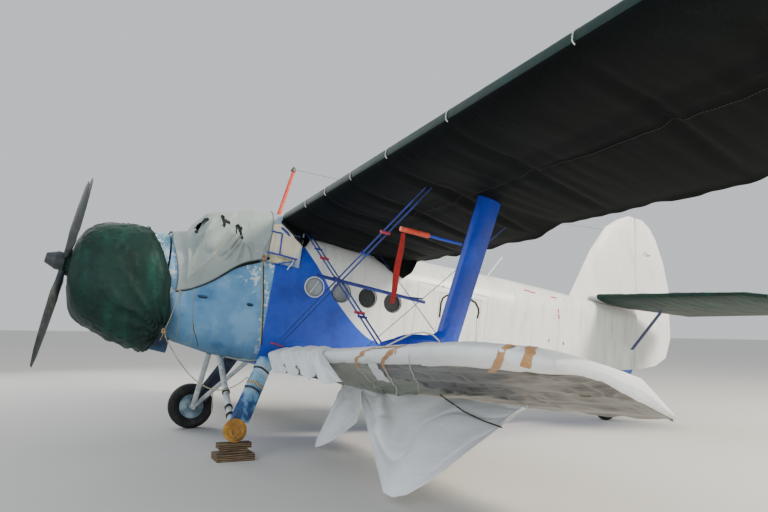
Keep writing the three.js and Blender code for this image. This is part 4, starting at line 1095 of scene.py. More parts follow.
# %% Bunched curtain at the wing root
# x where the column crosses the leading edge, height of its lower end
CURTAIN_HEM = [
    (1.00, -1.02), (1.06, -1.15), (1.40, -1.14), (1.52, -1.00), (1.67, -1.03), (1.89, -1.15), (2.06, -0.99),
    (2.27, -1.05), (2.44, -1.16), (2.52, -1.15), (2.64, -0.98), (2.80, -0.99), (2.86, -1.17), (3.05, -1.135),
]
CURTAIN_START, CURTAIN_END = 1.00, 3.05
CURTAIN_COLUMNS, CURTAIN_DOWN = 300, 72
FIRST_PLEAT, PLEAT, SMALL_PLEAT = 1.20, 0.60, 0.165
# How far a column leans outboard for each metre that it hangs, and what the outer end adds
HANGING_LEAN, END_LEAN = 1.1, 1.5
# Shares of the wing's chord where the curtain touches its top
OVER_WING = (0.20, 0.16, 0.12, 0.085, 0.055, 0.030, 0.014, 0.004, 0.0)


def curtain_point(x, down):
    hug = 0.030 - 0.012 * smooth_step(2.6, CURTAIN_END, x)
    route = [wing_at("lower", x, f, 1, hug) for f in OVER_WING]
    front_s, front_z = route[-1]
    bottom = min(front_z - 0.03, between(CURTAIN_HEM, x))
    route += [(front_s + 0.002, front_z - 0.02), (front_s + 0.030, bottom)]
    lengths = lengths_along(route)
    to_front = lengths[len(OVER_WING) - 1]
    goal = lengths[-1] * down
    s, z = point_along(route, lengths, goal)
    if goal > to_front:
        lean = HANGING_LEAN + END_LEAN * smooth_step(2.82, CURTAIN_END, x)
    else:
        lean = min(0.9, (x - 0.965) / max(0.05, to_front))
    aside = lean * (goal - to_front)
    ridge = (0.5 + 0.5 * math.cos((x - FIRST_PLEAT) * math.tau / PLEAT)) ** 1.5
    minor = (0.5 + 0.5 * math.sin(x * math.tau / SMALL_PLEAT + 2.6 * ripple((x, goal, 0), 0.5, 41))) ** 1.8
    fine = ripple((x * 9, goal * 1.6, 0), 0.4, 43)
    fade = smooth_step(0.02, 0.5, down)
    fade *= 1 - smooth_step(2.88, CURTAIN_END, x) * (1 - smooth_step(0.45, 0.8, down))
    out = (0.055 * ridge + 0.072 * minor + 0.028 * fine) * fade + 0.008 * minor
    slope = smooth_step(0.35, 0.62, down)
    rise = aside * math.tan(math.radians(WINGS["lower"]["rise"]))
    return level(x + aside, s - max(0.0, out) * slope - 0.004, z + rise + max(0.0, out) * 0.5 * (1 - slope))


curtain_rows = []
for j in range(CURTAIN_COLUMNS + 1):
    x = CURTAIN_START + (CURTAIN_END - CURTAIN_START) * j / CURTAIN_COLUMNS
    curtain_rows.append([curtain_point(x, i / CURTAIN_DOWN) for i in range(CURTAIN_DOWN + 1)])
root_curtain = grid_piece("lower_root_curtain", curtain_rows, white_sheeting)
curtain_hem = rope("lower_root_curtain_hem", [c[-1] for c in curtain_rows], 0.004, white_sheeting)

# %% [markdown]
# Two loose ends of the lower cover hang under the left wing. They are flat cloth, held along one
# edge, so folds run down from the held points and open toward the free edge. Each is drawn between
# its held edge and its free edge, with folds that grow on the way.

# %% Hanging ends of the lower cover
# x, s and z along the edge that is held and round the edge that is free
OUTER_HELD = [
    (2.30, 4.48, -1.13), (2.95, 4.62, -1.12), (3.60, 4.80, -1.10), (4.30, 5.00, -1.08), (5.07, 5.22, -1.04),
]
OUTER_FREE = [
    (2.36, 4.44, -1.20), (2.62, 4.350, -1.33), (3.116, 4.229, -1.533), (3.696, 4.085, -1.772),
    (4.200, 3.959, -1.981), (4.600, 3.862, -2.145), (4.780, 3.885, -2.160), (4.898, 3.977, -2.101),
    (4.960, 4.165, -1.947), (4.987, 4.352, -1.787), (5.005, 4.641, -1.534), (5.030, 4.916, -1.295),
    (5.070, 5.120, -1.120),
]
INNER_HELD = [(1.00, 4.75, -1.12), (1.50, 4.66, -1.10), (1.95, 4.58, -1.09), (2.35, 4.50, -1.09)]
INNER_FREE = [
    (1.06, 4.64, -1.30), (1.112, 4.600, -1.406), (1.134, 4.481, -1.740), (1.182, 4.368, -2.048),
    (1.320, 4.320, -2.140), (1.586, 4.303, -2.075), (2.173, 4.308, -1.843), (2.600, 4.323, -1.610),
    (2.471, 4.403, -1.454), (2.38, 4.44, -1.30),
]


def hanging(name, held, free, columns, down, folds, deep, seed):
    top, bottom = ([Vector(p) for p in spaced(edge, columns)] for edge in (held, free))
    rows = []
    for i in range(down + 1):
        t = i / down
        row = []
        for j in range(columns):
            u = j / (columns - 1)
            p = top[j].lerp(bottom[j], t)
            along = (top[min(j + 1, columns - 1)] - top[max(j - 1, 0)]).normalized()
            fall = (bottom[j] - top[j]).normalized()
            out = along.cross(fall).normalized()
            phase = u * folds * math.tau + 2.6 * ripple((u * 2, t * 1.6, 0), 1.0, seed)
            wave = math.sin(phase) + 0.4 * math.sin(2.1 * phase + 1.3)
            inside = math.sin(math.pi * (0.04 + 0.92 * t)) ** 0.8 * math.sin(
                math.pi * (0.05 + 0.90 * u)) ** 0.5
            crease = 1 - smooth_step(0.0, 0.20, abs(ripple((u * 3.2, t * 2.4, 3), 0.9, seed + 4)))
            swell = deep * inside * (wave + 0.45 * crease)
            row.append(
                level(*(p + out * (swell + 0.012 * inside * ripple((u * 9, t * 6, seed), 1.0, seed)))))
        rows.append(row)
    # The hanging ends use the brighter sheeting that paints their sunlight.
    made = grid_piece(f"{name}_cloth", rows, sunlit_sheeting)
    edge = [row[0] for row in rows] + rows[-1][1:] + [row[-1] for row in reversed(rows[:-1])]
    hem = rope(f"{name}_cloth_hem", edge, 0.006, sunlit_sheeting)
    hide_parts(name)


hanging("hanging_sheet_outer", OUTER_HELD, OUTER_FREE, 150, 70, 2.6, 0.070, 2.0)
hanging("hanging_sheet_inner", INNER_HELD, INNER_FREE, 80, 50, 1.6, 0.050, 5.0)

# %% [markdown]
# The tailplane halves are in green bags of the same cloth as the engine cover. They are made as the
# wing bags are, from the tailplane's own section.

# %% Tailplane covers
# x, leading edge, trailing edge, thickness
TAILPLANE = [
    (0.300, 10.370, 11.750, 0.160), (0.640, 10.415, 12.640, 0.155), (2.700, 10.690, 12.620, 0.120),
    (3.350, 10.800, 12.450, 0.095), (3.590, 11.050, 12.100, 0.060),
]
TAILPLANE_Z, OFF_TAILPLANE = 1.350, 0.012
TAIL_ROOT, TAIL_TIP, TAIL_STEPS = 0.302, 3.607, 110


def tail_bag_point(x, f, side, way):
    lead, trail, thick = (between(TAILPLANE, x, k) for k in (1, 2, 3))
    s = lead - OFF_TAILPLANE + f * (trail - lead + 2 * OFF_TAILPLANE)
    inside = smooth_step(0.0, 0.04, f) * (1 - smooth_step(0.96, 1.0, f))
    folds = 0.010 * ripple((way * x * 2.0, s * 0.5, side), 0.22, 6) + 0.008 * ripple((way * x, s, side), 0.4,
        9)
    sag = 0.022 * math.sin(math.pi * f) if side < 0 else 0.0
    lift = max(-0.004, folds * inside + 0.004)
    return s, TAILPLANE_Z - 0.020 * f + side * (half_section(thick, f) + OFF_TAILPLANE + lift) - sag


for way, side_name in SIDES:
    rows = []
    for k in range(TAIL_STEPS + 1):
        x = TAIL_ROOT + (TAIL_TIP - TAIL_ROOT) * k / TAIL_STEPS
        upper_side = [tail_bag_point(x, f, 1, way) for f in reversed(CHORD_POINTS)]
        under_side = [tail_bag_point(x, f, -1, way) for f in CHORD_POINTS]
        lip = (upper_side[0][1] + under_side[-1][1]) / 2
        reach = upper_side[0][0] + 0.022 + 0.010 * ripple((x * 2, 0, way), 0.3, 4)
        ring = [(reach, lip + LIP_HALF), *upper_side, *under_side[1:], (reach, lip - LIP_HALF)]
        rows.append([level(way * x, s, z) for s, z in ring])
    close_end(rows, way, 0.02, (0.75, 0.45, 0.15))
    tail_bag = grid_piece(f"tailplane_bag_{side_name}", rows, green_cloth, flip=way < 0)
    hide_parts(f"tail_cover_{side_name}")

# %% [markdown]
# A flag of faded red cotton hangs from the pitot boom, so that nobody forgets its sleeve. It is a
# narrow strip, sewn round the boom at the top, and it twists a little on its way down.

# %% Red streamer
STREAMER_TOP = level(4.6, 3.642, 0.612)
STREAMER_DROP, STREAMER_FORWARD, STREAMER_HALF = 0.78, 0.131, 0.036
STREAMER_STEPS, STREAMER_ACROSS = 48, 8
streamer_rows = []
for k in range(STREAMER_STEPS + 1):
    t = k / STREAMER_STEPS
    turn = 0.5 * math.sin(t * 4.2) * t
    mid = STREAMER_TOP + Vector((0.012 * math.sin(t * 9), -STREAMER_FORWARD * t, -STREAMER_DROP * t))
    half = STREAMER_HALF * (0.75 + 0.25 * smooth_step(0.0, 0.3, t))
    row = []
    for j in range(STREAMER_ACROSS + 1):
        w = 2 * j / STREAMER_ACROSS - 1
        bow = 0.010 * (1 - w * w) * math.sin(t * 7)
        row.append(mid + Vector((math.sin(turn) * half * w + bow, math.cos(turn) * half * w, 0)))
    streamer_rows.append(row)
streamer = grid_piece("pitot_streamer_cloth", streamer_rows, red_cloth)
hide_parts("pitot_streamer")
print("hanging cloth placed")

# %% [markdown]
# The airframe's paint was brushed on in layers and repainted in part. The cockpit section is deep
# blue, with an S-shaped edge against the white cabin and a blue belly stripe that runs to the tail.
# The nose panels keep an older pale blue, chalked and chipped to the white primer. All zones are laid
# out in the level frame of the airframe, so one Mapping node turns world places into it first.

# %% Fuselage paint
# s and z of the edge between the blue and the white
BLUE_EDGE = [
    (3.20, 1.60), (3.60, 1.14), (3.72, 0.95), (3.84, 0.804), (3.92, 0.721), (4.064, 0.568), (4.174, 0.442),
    (4.309, 0.270), (4.463, 0.101), (4.612, -0.037), (4.759, -0.160), (4.925, -0.281), (5.087, -0.370),
    (5.280, -0.423), (5.50, -0.48), (5.90, -0.56), (7.00, -0.74), (8.00, -0.74), (9.00, -0.50),
    (10.40, -0.17), (11.20, -0.07), (11.77, 0.03),
]
EDGE_START, EDGE_END, EDGE_LOW, EDGE_HIGH = 3.20, 11.80, -1.20, 1.70
PALE_END = 3.325
FRAME_PITCH, STRINGER_PITCH, JOINT_WIDTH = 0.94, 0.62, 0.0035
RIVETS_PER_METRE = 26.0
WHITE, BLACK = (1, 1, 1, 1), (0, 0, 0, 1)


def into_level(tree, place):
    shift = (0, START_TO_ORIGIN * math.cos(LEAN) + DATUM_HEIGHT * math.sin(LEAN),
        START_TO_ORIGIN * math.sin(LEAN) - DATUM_HEIGHT * math.cos(LEAN))
    return node(tree, "Mapping",
        {"Vector": place, "Rotation": (LEAN, 0, 0), "Location": shift}).outputs["Vector"]


def band(tree, value, low, high, soft):
    rise = ranged(tree, value, low - soft, low + soft)
    fall = ranged(tree, value, high - soft, high + soft, 1.0, 0.0)
    return worked(tree, "MULTIPLY", rise, fall)


def blue_edge_height(tree, s):
    curve = node(tree, "FloatCurve", {"Value": ranged(tree, s, EDGE_START, EDGE_END)})
    shape = curve.mapping.curves[0]
    knots = [((a - EDGE_START) / (EDGE_END - EDGE_START), (b - EDGE_LOW) / (EDGE_HIGH - EDGE_LOW))
        for a, b in BLUE_EDGE]
    shape.points[0].location, shape.points[1].location = (0.0, knots[0][1]), (1.0, knots[-1][1])
    for knot in knots[1:-1]:
        shape.points.new(*knot)
    curve.mapping.update()
    return ranged(tree, curve.outputs["Value"], to_low=EDGE_LOW, to_high=EDGE_HIGH)


def fuselage_enamel(name):
    material, tree, shader, place = begin(name, 0.38, ior=1.52)
    flat = into_level(tree, place)
    axes = node(tree, "SeparateXYZ", {"Vector": flat})
    s, z = axes.outputs["Y"], axes.outputs["Z"]
    run_down = clouds(tree, stretched(tree, flat, (1.0, 2.6, 0.45)), 2.4, 8.0, 0.62)
    cloudy = clouds(tree, flat, 2.1, 5.0, 0.55)
    grit = clouds(tree, flat, 9.0, 11.0, 0.72)
    white = ramp(tree, run_down, [(0.30, "#c9cdca"), (0.50, "#dfe2df"), (0.70, "#e9ebe8")])
    deep = ramp(tree, cloudy, [(0.30, "#0c3aa0"), (0.50, "#1347ba"), (0.72, "#1c55c8")])
    pale = ramp(tree, cloudy, [(0.28, "#3f7aa5"), (0.45, "#5f97c1"), (0.60, "#79acd0"), (0.76, "#9cc3dc")])
    over = worked(tree, "SUBTRACT", z, blue_edge_height(tree, s))
    behind = mixed(tree, ranged(tree, over, -0.006, 0.006), deep, white)
    ragged_s = worked(tree, "ADD", s, worked(tree, "MULTIPLY", grit, 0.05))
    is_deep = ranged(tree, ragged_s, PALE_END + 0.015, PALE_END + 0.030)
    # Chips gather by the windscreen, at the front edge and where the two blues meet
    chip_zone = worked(tree, "MULTIPLY", band(tree, s, 2.62, 3.33, 0.25), band(tree, z, 0.02, 0.75, 0.16))
    chip_zone = worked(tree, "MAXIMUM", chip_zone, band(tree, s, 1.60, 1.93, 0.05))
    chip_zone = worked(tree, "MAXIMUM", band(tree, ragged_s, 3.245, 3.36, 0.03), chip_zone)
    bare = worked(tree, "SUBTRACT", grit, ranged(tree, chip_zone, to_low=0.70, to_high=0.535))
    grime = worked(tree, "MULTIPLY", ranged(tree, z, -0.95, -0.45, 0.75, 0.0), run_down)
    old_blue = mixed(tree, ranged(tree, bare, 0.0, 0.018), pale, "#d9e3e6")
    colour = mixed(tree, is_deep, mixed(tree, grime, old_blue, "#26405a"), behind)
    colour = mixed(tree, ranged(tree, grit, 0.45, 0.8, 0.0, 0.09), colour, "#a7a290")
    on_side = node(tree, "CombineXYZ", {"X": s, "Y": z}).outputs["Vector"]
    joints = node(tree, "TexBrick", {"Vector": on_side, "Color1": WHITE, "Color2": WHITE, "Mortar": BLACK,
        "Scale": 1.0, "Mortar Size": JOINT_WIDTH, "Mortar Smooth": 0.4, "Brick Width": FRAME_PITCH,
        "Row Height": STRINGER_PITCH}, offset=0.0, squash=1.0)
    rivets = node(tree, "TexVoronoi", {"Vector": on_side, "Scale": RIVETS_PER_METRE, "Randomness": 0.0},
        voronoi_dimensions="2D")
    heads = ranged(tree, rivets.outputs["Distance"], 0.10, 0.16, 1.0, 0.0)
    colour = mixed(tree, 0.13, colour, joints.outputs["Color"], blend="MULTIPLY")
    relief = bumped(tree, joints.outputs["Fac"], 0.4, -0.002)
    relief = bumped(tree, cloudy, 0.25, 0.02, bumped(tree, heads, 0.35, 0.001, relief))
    close(tree, shader, colour, relief, ranged(tree, is_deep, to_low=0.62, to_high=0.34))
    return material


fuselage_paint = fuselage_enamel("brushed_fuselage_enamel")
print("fuselage paint has", len(fuselage_paint.node_tree.nodes), "nodes")

# %% [markdown]
# The other rigid parts need few recipes: brushed enamel with cloudy fading, chips and dust; rubber; timber;
# bare and cast metal; glass. Each recipe is a function of real colours and sizes, and each part, or each
# group of like parts, gets a material from it, named for the surface it gives.

# %% Recipes for paint, rubber, timber, metal and glass
ALONG_GRAIN, GRAIN_MM = (1.0, 0.12, 1.0), 26


def enamel(name, stops, rough, chip="#8b8f90", chips=0.0, dust=0.15, streak=(1.0, 1.0, 1.0), size=2.2,
        other=None):
    material, tree, shader, place = begin(name, rough, ior=1.52)
    cloudy = clouds(tree, stretched(tree, place, streak), size, 6.0, 0.58)
    grit = clouds(tree, place, 13.0, 11.0, 0.72)
    colour = ramp(tree, cloudy, stops)
    if other:
        axis, start, second, soft = other
        axes = node(tree, "SeparateXYZ", {"Vector": into_level(tree, place)})
        there = ranged(tree, axes.outputs[axis], start - soft, start + soft)
        colour = mixed(tree, there, colour, ramp(tree, cloudy, second))
    bare = ranged(tree, grit, 0.72 - 0.2 * chips, 0.74 - 0.2 * chips)
    colour = mixed(tree, bare, colour, chip)
    colour = mixed(tree, ranged(tree, grit, 0.45, 0.8, 0.0, dust), colour, "#a59f8f")
    relief = bumped(tree, bare, 0.5, -0.0006, bumped(tree, cloudy, 0.2, 0.008))
    close(tree, shader, colour, relief, ranged(tree, grit, to_low=rough - 0.08, to_high=rough + 0.16))
    return material


def metal_surface(name, stops, rough, metal):
    material, tree, shader, place = begin(name, rough, metal)
    cloudy = clouds(tree, place, 8.0, 8.0, 0.65)
    grain = bumped(tree, clouds(tree, place, 160.0, 3.0), 0.3, 0.0008)
    gloss = ranged(tree, cloudy, to_low=rough - 0.12, to_high=rough + 0.15)
    close(tree, shader, ramp(tree, cloudy, stops), grain, gloss)
    return material


def moulded_rubber(name, tread_mm=None, rim=None):
    material, tree, shader, place = begin(name, 0.85, ior=1.52)
    cloudy = clouds(tree, place, 7.0, 8.0)
    colour = ramp(tree, cloudy, [(0.3, "#151516"), (0.55, "#232322"), (0.75, "#3b3833")])
    height = waves(tree, place, tread_mm, "X") if tread_mm else clouds(tree, place, 90.0, 4.0)
    if rim:
        s, z, radius, stops = rim
        away = node(tree, "VectorMath", {0: into_level(tree, place), 1: (0, s, z)}, operation="SUBTRACT")
        flat = node(tree, "VectorMath", {0: away.outputs["Vector"], 1: (0, 1, 1)}, operation="MULTIPLY")
        far = node(tree, "VectorMath", {0: flat.outputs["Vector"]}, operation="LENGTH").outputs["Value"]
        colour = mixed(tree, ranged(tree, far, radius + 0.003, radius - 0.003), colour,
            ramp(tree, cloudy, stops))
    close(tree, shader, colour, bumped(tree, height, 0.6, 0.004))
    return material


def sawn_timber(name, stops):
    material, tree, shader, place = begin(name, 0.9, ior=1.5)
    drawn = stretched(tree, place, ALONG_GRAIN)
    rings = waves(tree, drawn, GRAIN_MM, "Z", warp=5.0, detail=4.0, detail_scale=2.0)
    grain = averaged(tree, 0.5, rings, clouds(tree, drawn, 70.0, 6.0))
    close(tree, shader, ramp(tree, grain, stops), bumped(tree, grain, 0.7, 0.004))
    return material


def dusty_glass(name, tint, dust, cover, rough=0.12):
    material, tree, shader, place = begin(name, rough, ior=1.49)
    film = clouds(tree, place, 6.0, 7.0, 0.65)
    share = ranged(tree, film, 0.3, 0.7, cover - 0.2, cover + 0.2)
    close(tree, shader, mixed(tree, share, tint, dust),
        gloss=ranged(tree, film, to_low=rough, to_high=rough + 0.35))
    return material


print("recipes ready")

# %% [markdown]
# A carried-over part keeps its shape to the last vertex. Its facets are only shaded smooth: a Weld
# modifier joins the corners that share a place, and an Edge Split keeps every real edge sharp.

# %% Dressing the CAD parts
WELD_WITHIN = 0.0002
PAINT_SOFT = 0.004
BRACE_STOPS = [(0.30, "#9aa2a3"), (0.50, "#c3c9c7"), (0.70, "#dadedb")]
RED_STOPS = [(0.3, "#b8341d"), (0.5, "#d8452a"), (0.7, "#e2664a")]
blue_gloss = enamel("blue_gloss_enamel_brushed", [(0.30, "#072c93"), (0.50, "#0a36a8"), (0.72, "#1344bd")],
    0.28, chip="#9db4d8", chips=0.15, dust=0.08)
wire_blue = enamel("blue_wire_enamel_sprayed", [(0.3, "#0e2270"), (0.7, "#1c3c9c")], 0.4, dust=0.05)
white_gloss = enamel("white_enamel_brushed", [(0.30, "#cfd2d0"), (0.50, "#e0e2e0"), (0.70, "#ebecea")], 0.42,
    chip="#9aa0a0", chips=0.05, dust=0.10, streak=(1.0, 1.0, 0.4))
scoop_paint = enamel("scoop_enamel_dark_blue", [(0.3, "#12304d"), (0.5, "#1f4a70"), (0.7, "#3a6c93")], 0.5,
    chip="#8fb0c4", chips=0.35, size=4.0)
mast_paint = enamel("mast_red_enamel_faded", RED_STOPS, 0.45, chip="#e6c9b9", chips=0.2, size=6.0,
    other=("Z", 2.287, [(0.3, "#3f4a42"), (0.7, "#6a6f64")], PAINT_SOFT))
tail_metal = metal_surface("tail_gear_steel_painted", [(0.3, "#4d5357"), (0.5, "#6b7276"), (0.7, "#8d9396")],
    0.5, 0.4)
canopy_glass = dusty_glass("yellowed_canopy_perspex", "#cfc6a8", "#f0e9d2", 0.7, rough=0.3)


def dress(material, *names, sharp=32.0):
    for name in names:
        made = bpy.data.objects[name]
        data = made.data
        if not data.materials:
            data.materials.append(material)
        for slot in made.material_slots:
            slot.material = material
        if "custom_normal" in data.attributes:
            data.attributes.remove(data.attributes["custom_normal"])
        data.polygons.foreach_set("use_smooth", [True] * len(data.polygons))
        made.modifiers.new("join_corners", "WELD").merge_threshold = WELD_WITHIN
        made.modifiers.new("keep_edges", "EDGE_SPLIT").split_angle = math.radians(sharp)


dress(fuselage_paint, "forward_fuselage", "cabin_fuselage", "tail_fuselage", "cargo_door", "entry_door")
dress(enamel("chalked_nose_enamel", [(0.30, "#44748f"), (0.50, "#6f9ab2"), (0.68, "#a8c0cb")], 0.6,
    chip="#dfe6e6", chips=0.75, size=3.5), "cowling")
dress(scoop_paint, "oil_cooler_scoop")
dress(enamel("canopy_frame_enamel", [(0.32, "#5b7fbb"), (0.50, "#9fb2c4"), (0.68, "#c3ccd0")], 0.5,
    chip="#e4dfcb", chips=0.6, size=5.0), "canopy_frame")
dress(canopy_glass, "canopy_glazing")
dress(metal_surface("cast_iron_engine", [(0.3, "#2a2c2e"), (0.7, "#44474a")], 0.6, 0.6), "engine_block")
dress(enamel("propeller_enamel_matt", [(0.3, "#20262a"), (0.5, "#2c3337"), (0.7, "#3b4347")], 0.5,
    chip="#8f9496", chips=0.2, size=4.0), "propeller", sharp=40)
dress(metal_surface("rolled_aluminium_floor", [(0.3, "#83868a"), (0.7, "#a5a8ab")], 0.5, 1.0), "cabin_floor")
dress(dusty_glass("cabin_window_glass", "#0d1013", "#23282b", 0.35), "cabin_windows_left",
    "cabin_windows_right")
dress(white_gloss, "upper_wing_centre", "upper_wing_left", "upper_wing_right", "lower_wing_left",
    "lower_wing_right", "fin", "rudder", "tailplane_left", "tailplane_right")
dress(blue_gloss, "interplane_strut_left", "interplane_strut_right", sharp=50)
dress(wire_blue, "bracing_left", "bracing_right", sharp=60)
dress(enamel("brace_enamel_and_yellow_flange", BRACE_STOPS, 0.5, chip="#4a3016", chips=0.7, size=6.0,
    other=("X", 1.535, [(0.3, "#6e4c1c"), (0.5, "#a9782a"), (0.7, "#cf9a3c")], PAINT_SOFT)),
    "gear_brace_left", sharp=50)
dress(enamel("brace_enamel_chalked", BRACE_STOPS, 0.55, chip="#6a4a2c", chips=0.45, size=5.0),
    "gear_brace_right", sharp=50)
dress(enamel("leg_enamel_repainted", [(0.38, "#0b2246"), (0.50, "#1d4a80"), (0.62, "#6da2c8")],
    0.5, chip="#d4dee2", chips=0.3, size=5.5, streak=(1.0, 1.0, 0.55),
    other=("Z", -1.42, [(0.36, "#3d7db2"), (0.50, "#86b4d2"), (0.68, "#bdd5e1")], 0.10)), "gear_leg_left",
    sharp=50)
dress(enamel("leg_enamel_navy", [(0.30, "#0d1626"), (0.50, "#17263f"), (0.70, "#2b4668")], 0.5,
    chip="#7f93a3", chips=0.3, size=5.0), "gear_leg_right", sharp=50)
dress(moulded_rubber("tyre_rubber_ribbed", 32, (2.960, -1.990, 0.215, [(0.3, "#5d7480"), (0.7, "#9db0b8")])),
    "main_wheel_right", sharp=40)
dress(moulded_rubber("tail_tyre_rubber_ribbed", 24), "tail_wheel", sharp=40)
dress(tail_metal, "tail_leg", "tail_fork", sharp=40)
dress(enamel("tail_strut_enamel", [(0.3, "#0b1c4a"), (0.7, "#17306f")], 0.4), "tailplane_strut_left",
    "tailplane_strut_right", sharp=50)
dress(sawn_timber("weathered_sawn_oak", [(0.25, "#2c2118"), (0.5, "#5d4a36"), (0.75, "#8d7657")]),
    "block_stack")
dress(mast_paint, "aerial_mast", sharp=50)
dress(enamel("boom_red_and_blue_enamel", RED_STOPS, 0.42, chip="#e6c9b9", chips=0.2, size=6.0,
    other=("Y", 3.972, [(0.3, "#0a36a8"), (0.7, "#1344bd")], PAINT_SOFT)), "pitot_boom", sharp=50)

# %% [markdown]
# Small fittings sit on the skin of the airframe. A ray sent in from the left finds the skin at any
# place, so a cord, a bar or a cap can be laid on it at a given distance. On the real aircraft these
# are things tied, screwed or stuck on after the paint.

# %% Finding the skin
# Rays start here, and a point that they miss is put here
OUTSIDE, FALLBACK_X = 3.0, 0.80
SKIN_STEP, PANEL_STEPS_EACH_WAY = 0.03, 16


def surface_of(*names):
    points, faces = [], []
    for name in names:
        obj = bpy.data.objects[name]
        start = len(points)
        points += [obj.matrix_world @ v.co for v in obj.data.vertices]
        faces += [[start + k for k in face.vertices] for face in obj.data.polygons]
    return BVHTree.FromPolygons(points, faces)


def on_skin(surface, s, z, off):
    place = surface.ray_cast(level(OUTSIDE, s, z), Vector((-1, 0, 0)))[0]
    return (place or level(FALLBACK_X, s, z)) + Vector((off, 0, 0))


def spread(places):
    made = []
    for a, b in zip(places, places[1:]):
        count = max(1, int(math.dist(a, b) / SKIN_STEP))
        made += [tuple(p + (q - p) * k / count for p, q in zip(a, b)) for k in range(count)]
    return made + [places[-1]]


side_skin = surface_of("forward_fuselage", "canopy_frame", "canopy_glazing", "cabin_fuselage", "cargo_door",
    "entry_door", "tail_fuselage")


def skin_line(name, places, radius, material, slot, surface=side_skin, off=None, body="airframe"):
    lift = radius * 0.8 if off is None else off
    rope(name, [on_skin(surface, s, z, lift) for s, z in spread(places)], radius, material, body)


def step_along(places, t):
    reach = t * (len(places) - 1)
    k = min(len(places) - 2, int(reach))
    return tuple(p + (q - p) * (reach - k) for p, q in zip(places[k], places[k + 1]))


def skin_panel(name, left, right, material, bulge=0.0, off=0.006, steps=PANEL_STEPS_EACH_WAY):
    rows = []
    for i in range(steps + 1):
        ends = step_along(left, i / steps), step_along(right, i / steps)
        row = []
        for j in range(steps + 1):
            dome = bulge * math.sin(math.pi * i / steps) * math.sin(math.pi * j / steps)
            row.append(on_skin(side_skin, *step_along(ends, j / steps), off + dome))
        rows.append(row)
    return grid_piece(name, rows, material)


print("skin at the second window", round(on_skin(side_skin, 4.49, 0.0, 0.0).x, 3))

# %% [markdown]
# The side of the cockpit shows behind the canvas: a large pane of yellowed acrylic, blown outwards a little,
# between flat bars of blue enamel. A strip of cream paint runs below it, a dark apron of the wing bag, drawn
# in the near-black cloth that paints the bag's shade, covers its upper corner, and a white rod that held the
# pane open leans out at the bottom. A black welt along the pane's top edge stands for the flap's edge and
# paints the shadow line along it.

# %% Cockpit side pane and bars
skin_panel("canopy_side_pane", [(3.11, 1.10), (3.10, 0.660)],
    [(3.321, 1.159), (3.674, 0.875), (3.637, 0.655)], canopy_glass, bulge=0.022, off=0.010)
sill_paint = enamel("sill_enamel_cream_worn", [(0.3, "#8f8a62"), (0.5, "#c3bd92"), (0.7, "#dcd8bd")], 0.6,
    chip="#6f7f8c", chips=0.6, size=9.0)
skin_panel("canopy_sill_strip", [(3.16, 0.640), (3.24, 0.500)], [(3.61, 0.640), (3.53, 0.588)], sill_paint,
    off=0.008)
# Places and radius of each blue bar
PANE_BARS = [
    ([(3.10, 0.990), (3.314, 1.001)], 0.012),
    ([(3.293, 1.083), (3.45, 0.992)], 0.018),
    ([(3.324, 1.00), (3.342, 0.668)], 0.012),
    ([(3.09, 0.655), (3.345, 0.659), (3.630, 0.644)], 0.012),
    ([(3.25, 0.490), (3.316, 0.503), (3.532, 0.584), (3.62, 0.640)], 0.009),
]
for number, (places, radius) in enumerate(PANE_BARS):
    skin_line(f"canopy_pane_bar_{number}", places, radius, blue_gloss, "blue_paint", off=0.038)
skin_line("canopy_stay_rod", [(3.585, 0.630), (3.514, 0.455)], 0.010, white_gloss, "white_paint", off=0.042)
# The black welt stands for the flap's edge and paints the shadow line along the pane's top edge
skin_line("canopy_edge_welt_and_shadow", [(3.30, 1.165), (3.50, 1.03), (3.69, 0.885)], 0.014, black_webbing_and_shade, "black_cover",
    off=0.012)
APRON_LOW = [(3.285, 1.180), (3.50, 1.045), (3.70, 0.885), (3.78, 0.90)]
APRON_TOP = [(3.33, 1.27), (3.55, 1.26), (3.74, 1.20), (3.90, 1.10)]
bag_apron = skin_panel("upper_bag_apron_left", APRON_LOW, APRON_TOP, shaded_cover_cloth, off=0.012,
    steps=24)

# %% [markdown]
# The round windows have thin rubber rims. Behind the first pane a light plate with a white rim and one stay
# bar is fixed, and behind the second a grey one; their pale tones are partly dust on the glass and partly
# painted sunlight, the grey one half in painted shade. The rest stay dark. The entry door has a thick rubber
# seal round its top, which moves with the door, and a pale edge strip behind it.

# %% Windows and door seal
WINDOW_S = [4.020, 4.490, 4.970, 5.440]
WINDOW_Z, WINDOW_RADIUS = 0.280, 0.155
RIM_POINTS, PLATE_RADIUS, PLATE_RINGS = 40, WINDOW_RADIUS - 0.004, 8
rim_rubber = moulded_rubber("window_rim_rubber")
# Pale and grey plates over the first two panes paint sunlight on their dusty glass, the second half in
# shade.
lit_pane_plate = enamel("window_plate_painted_light", [(0.3, "#737d80"), (0.5, "#8e9799"), (0.7, "#a9b0b0")],
    0.5)
half_lit_pane_plate = enamel("window_plate_painted_half_light", [(0.3, "#565c62"), (0.5, "#6f767c"), (0.7, "#858b90")], 0.6)
pane_skin = surface_of("cabin_windows_left")


def round_places(s, z, radius):
    turns = [math.tau * k / RIM_POINTS for k in range(RIM_POINTS + 1)]
    return [(s + radius * math.cos(a), z + radius * math.sin(a)) for a in turns]


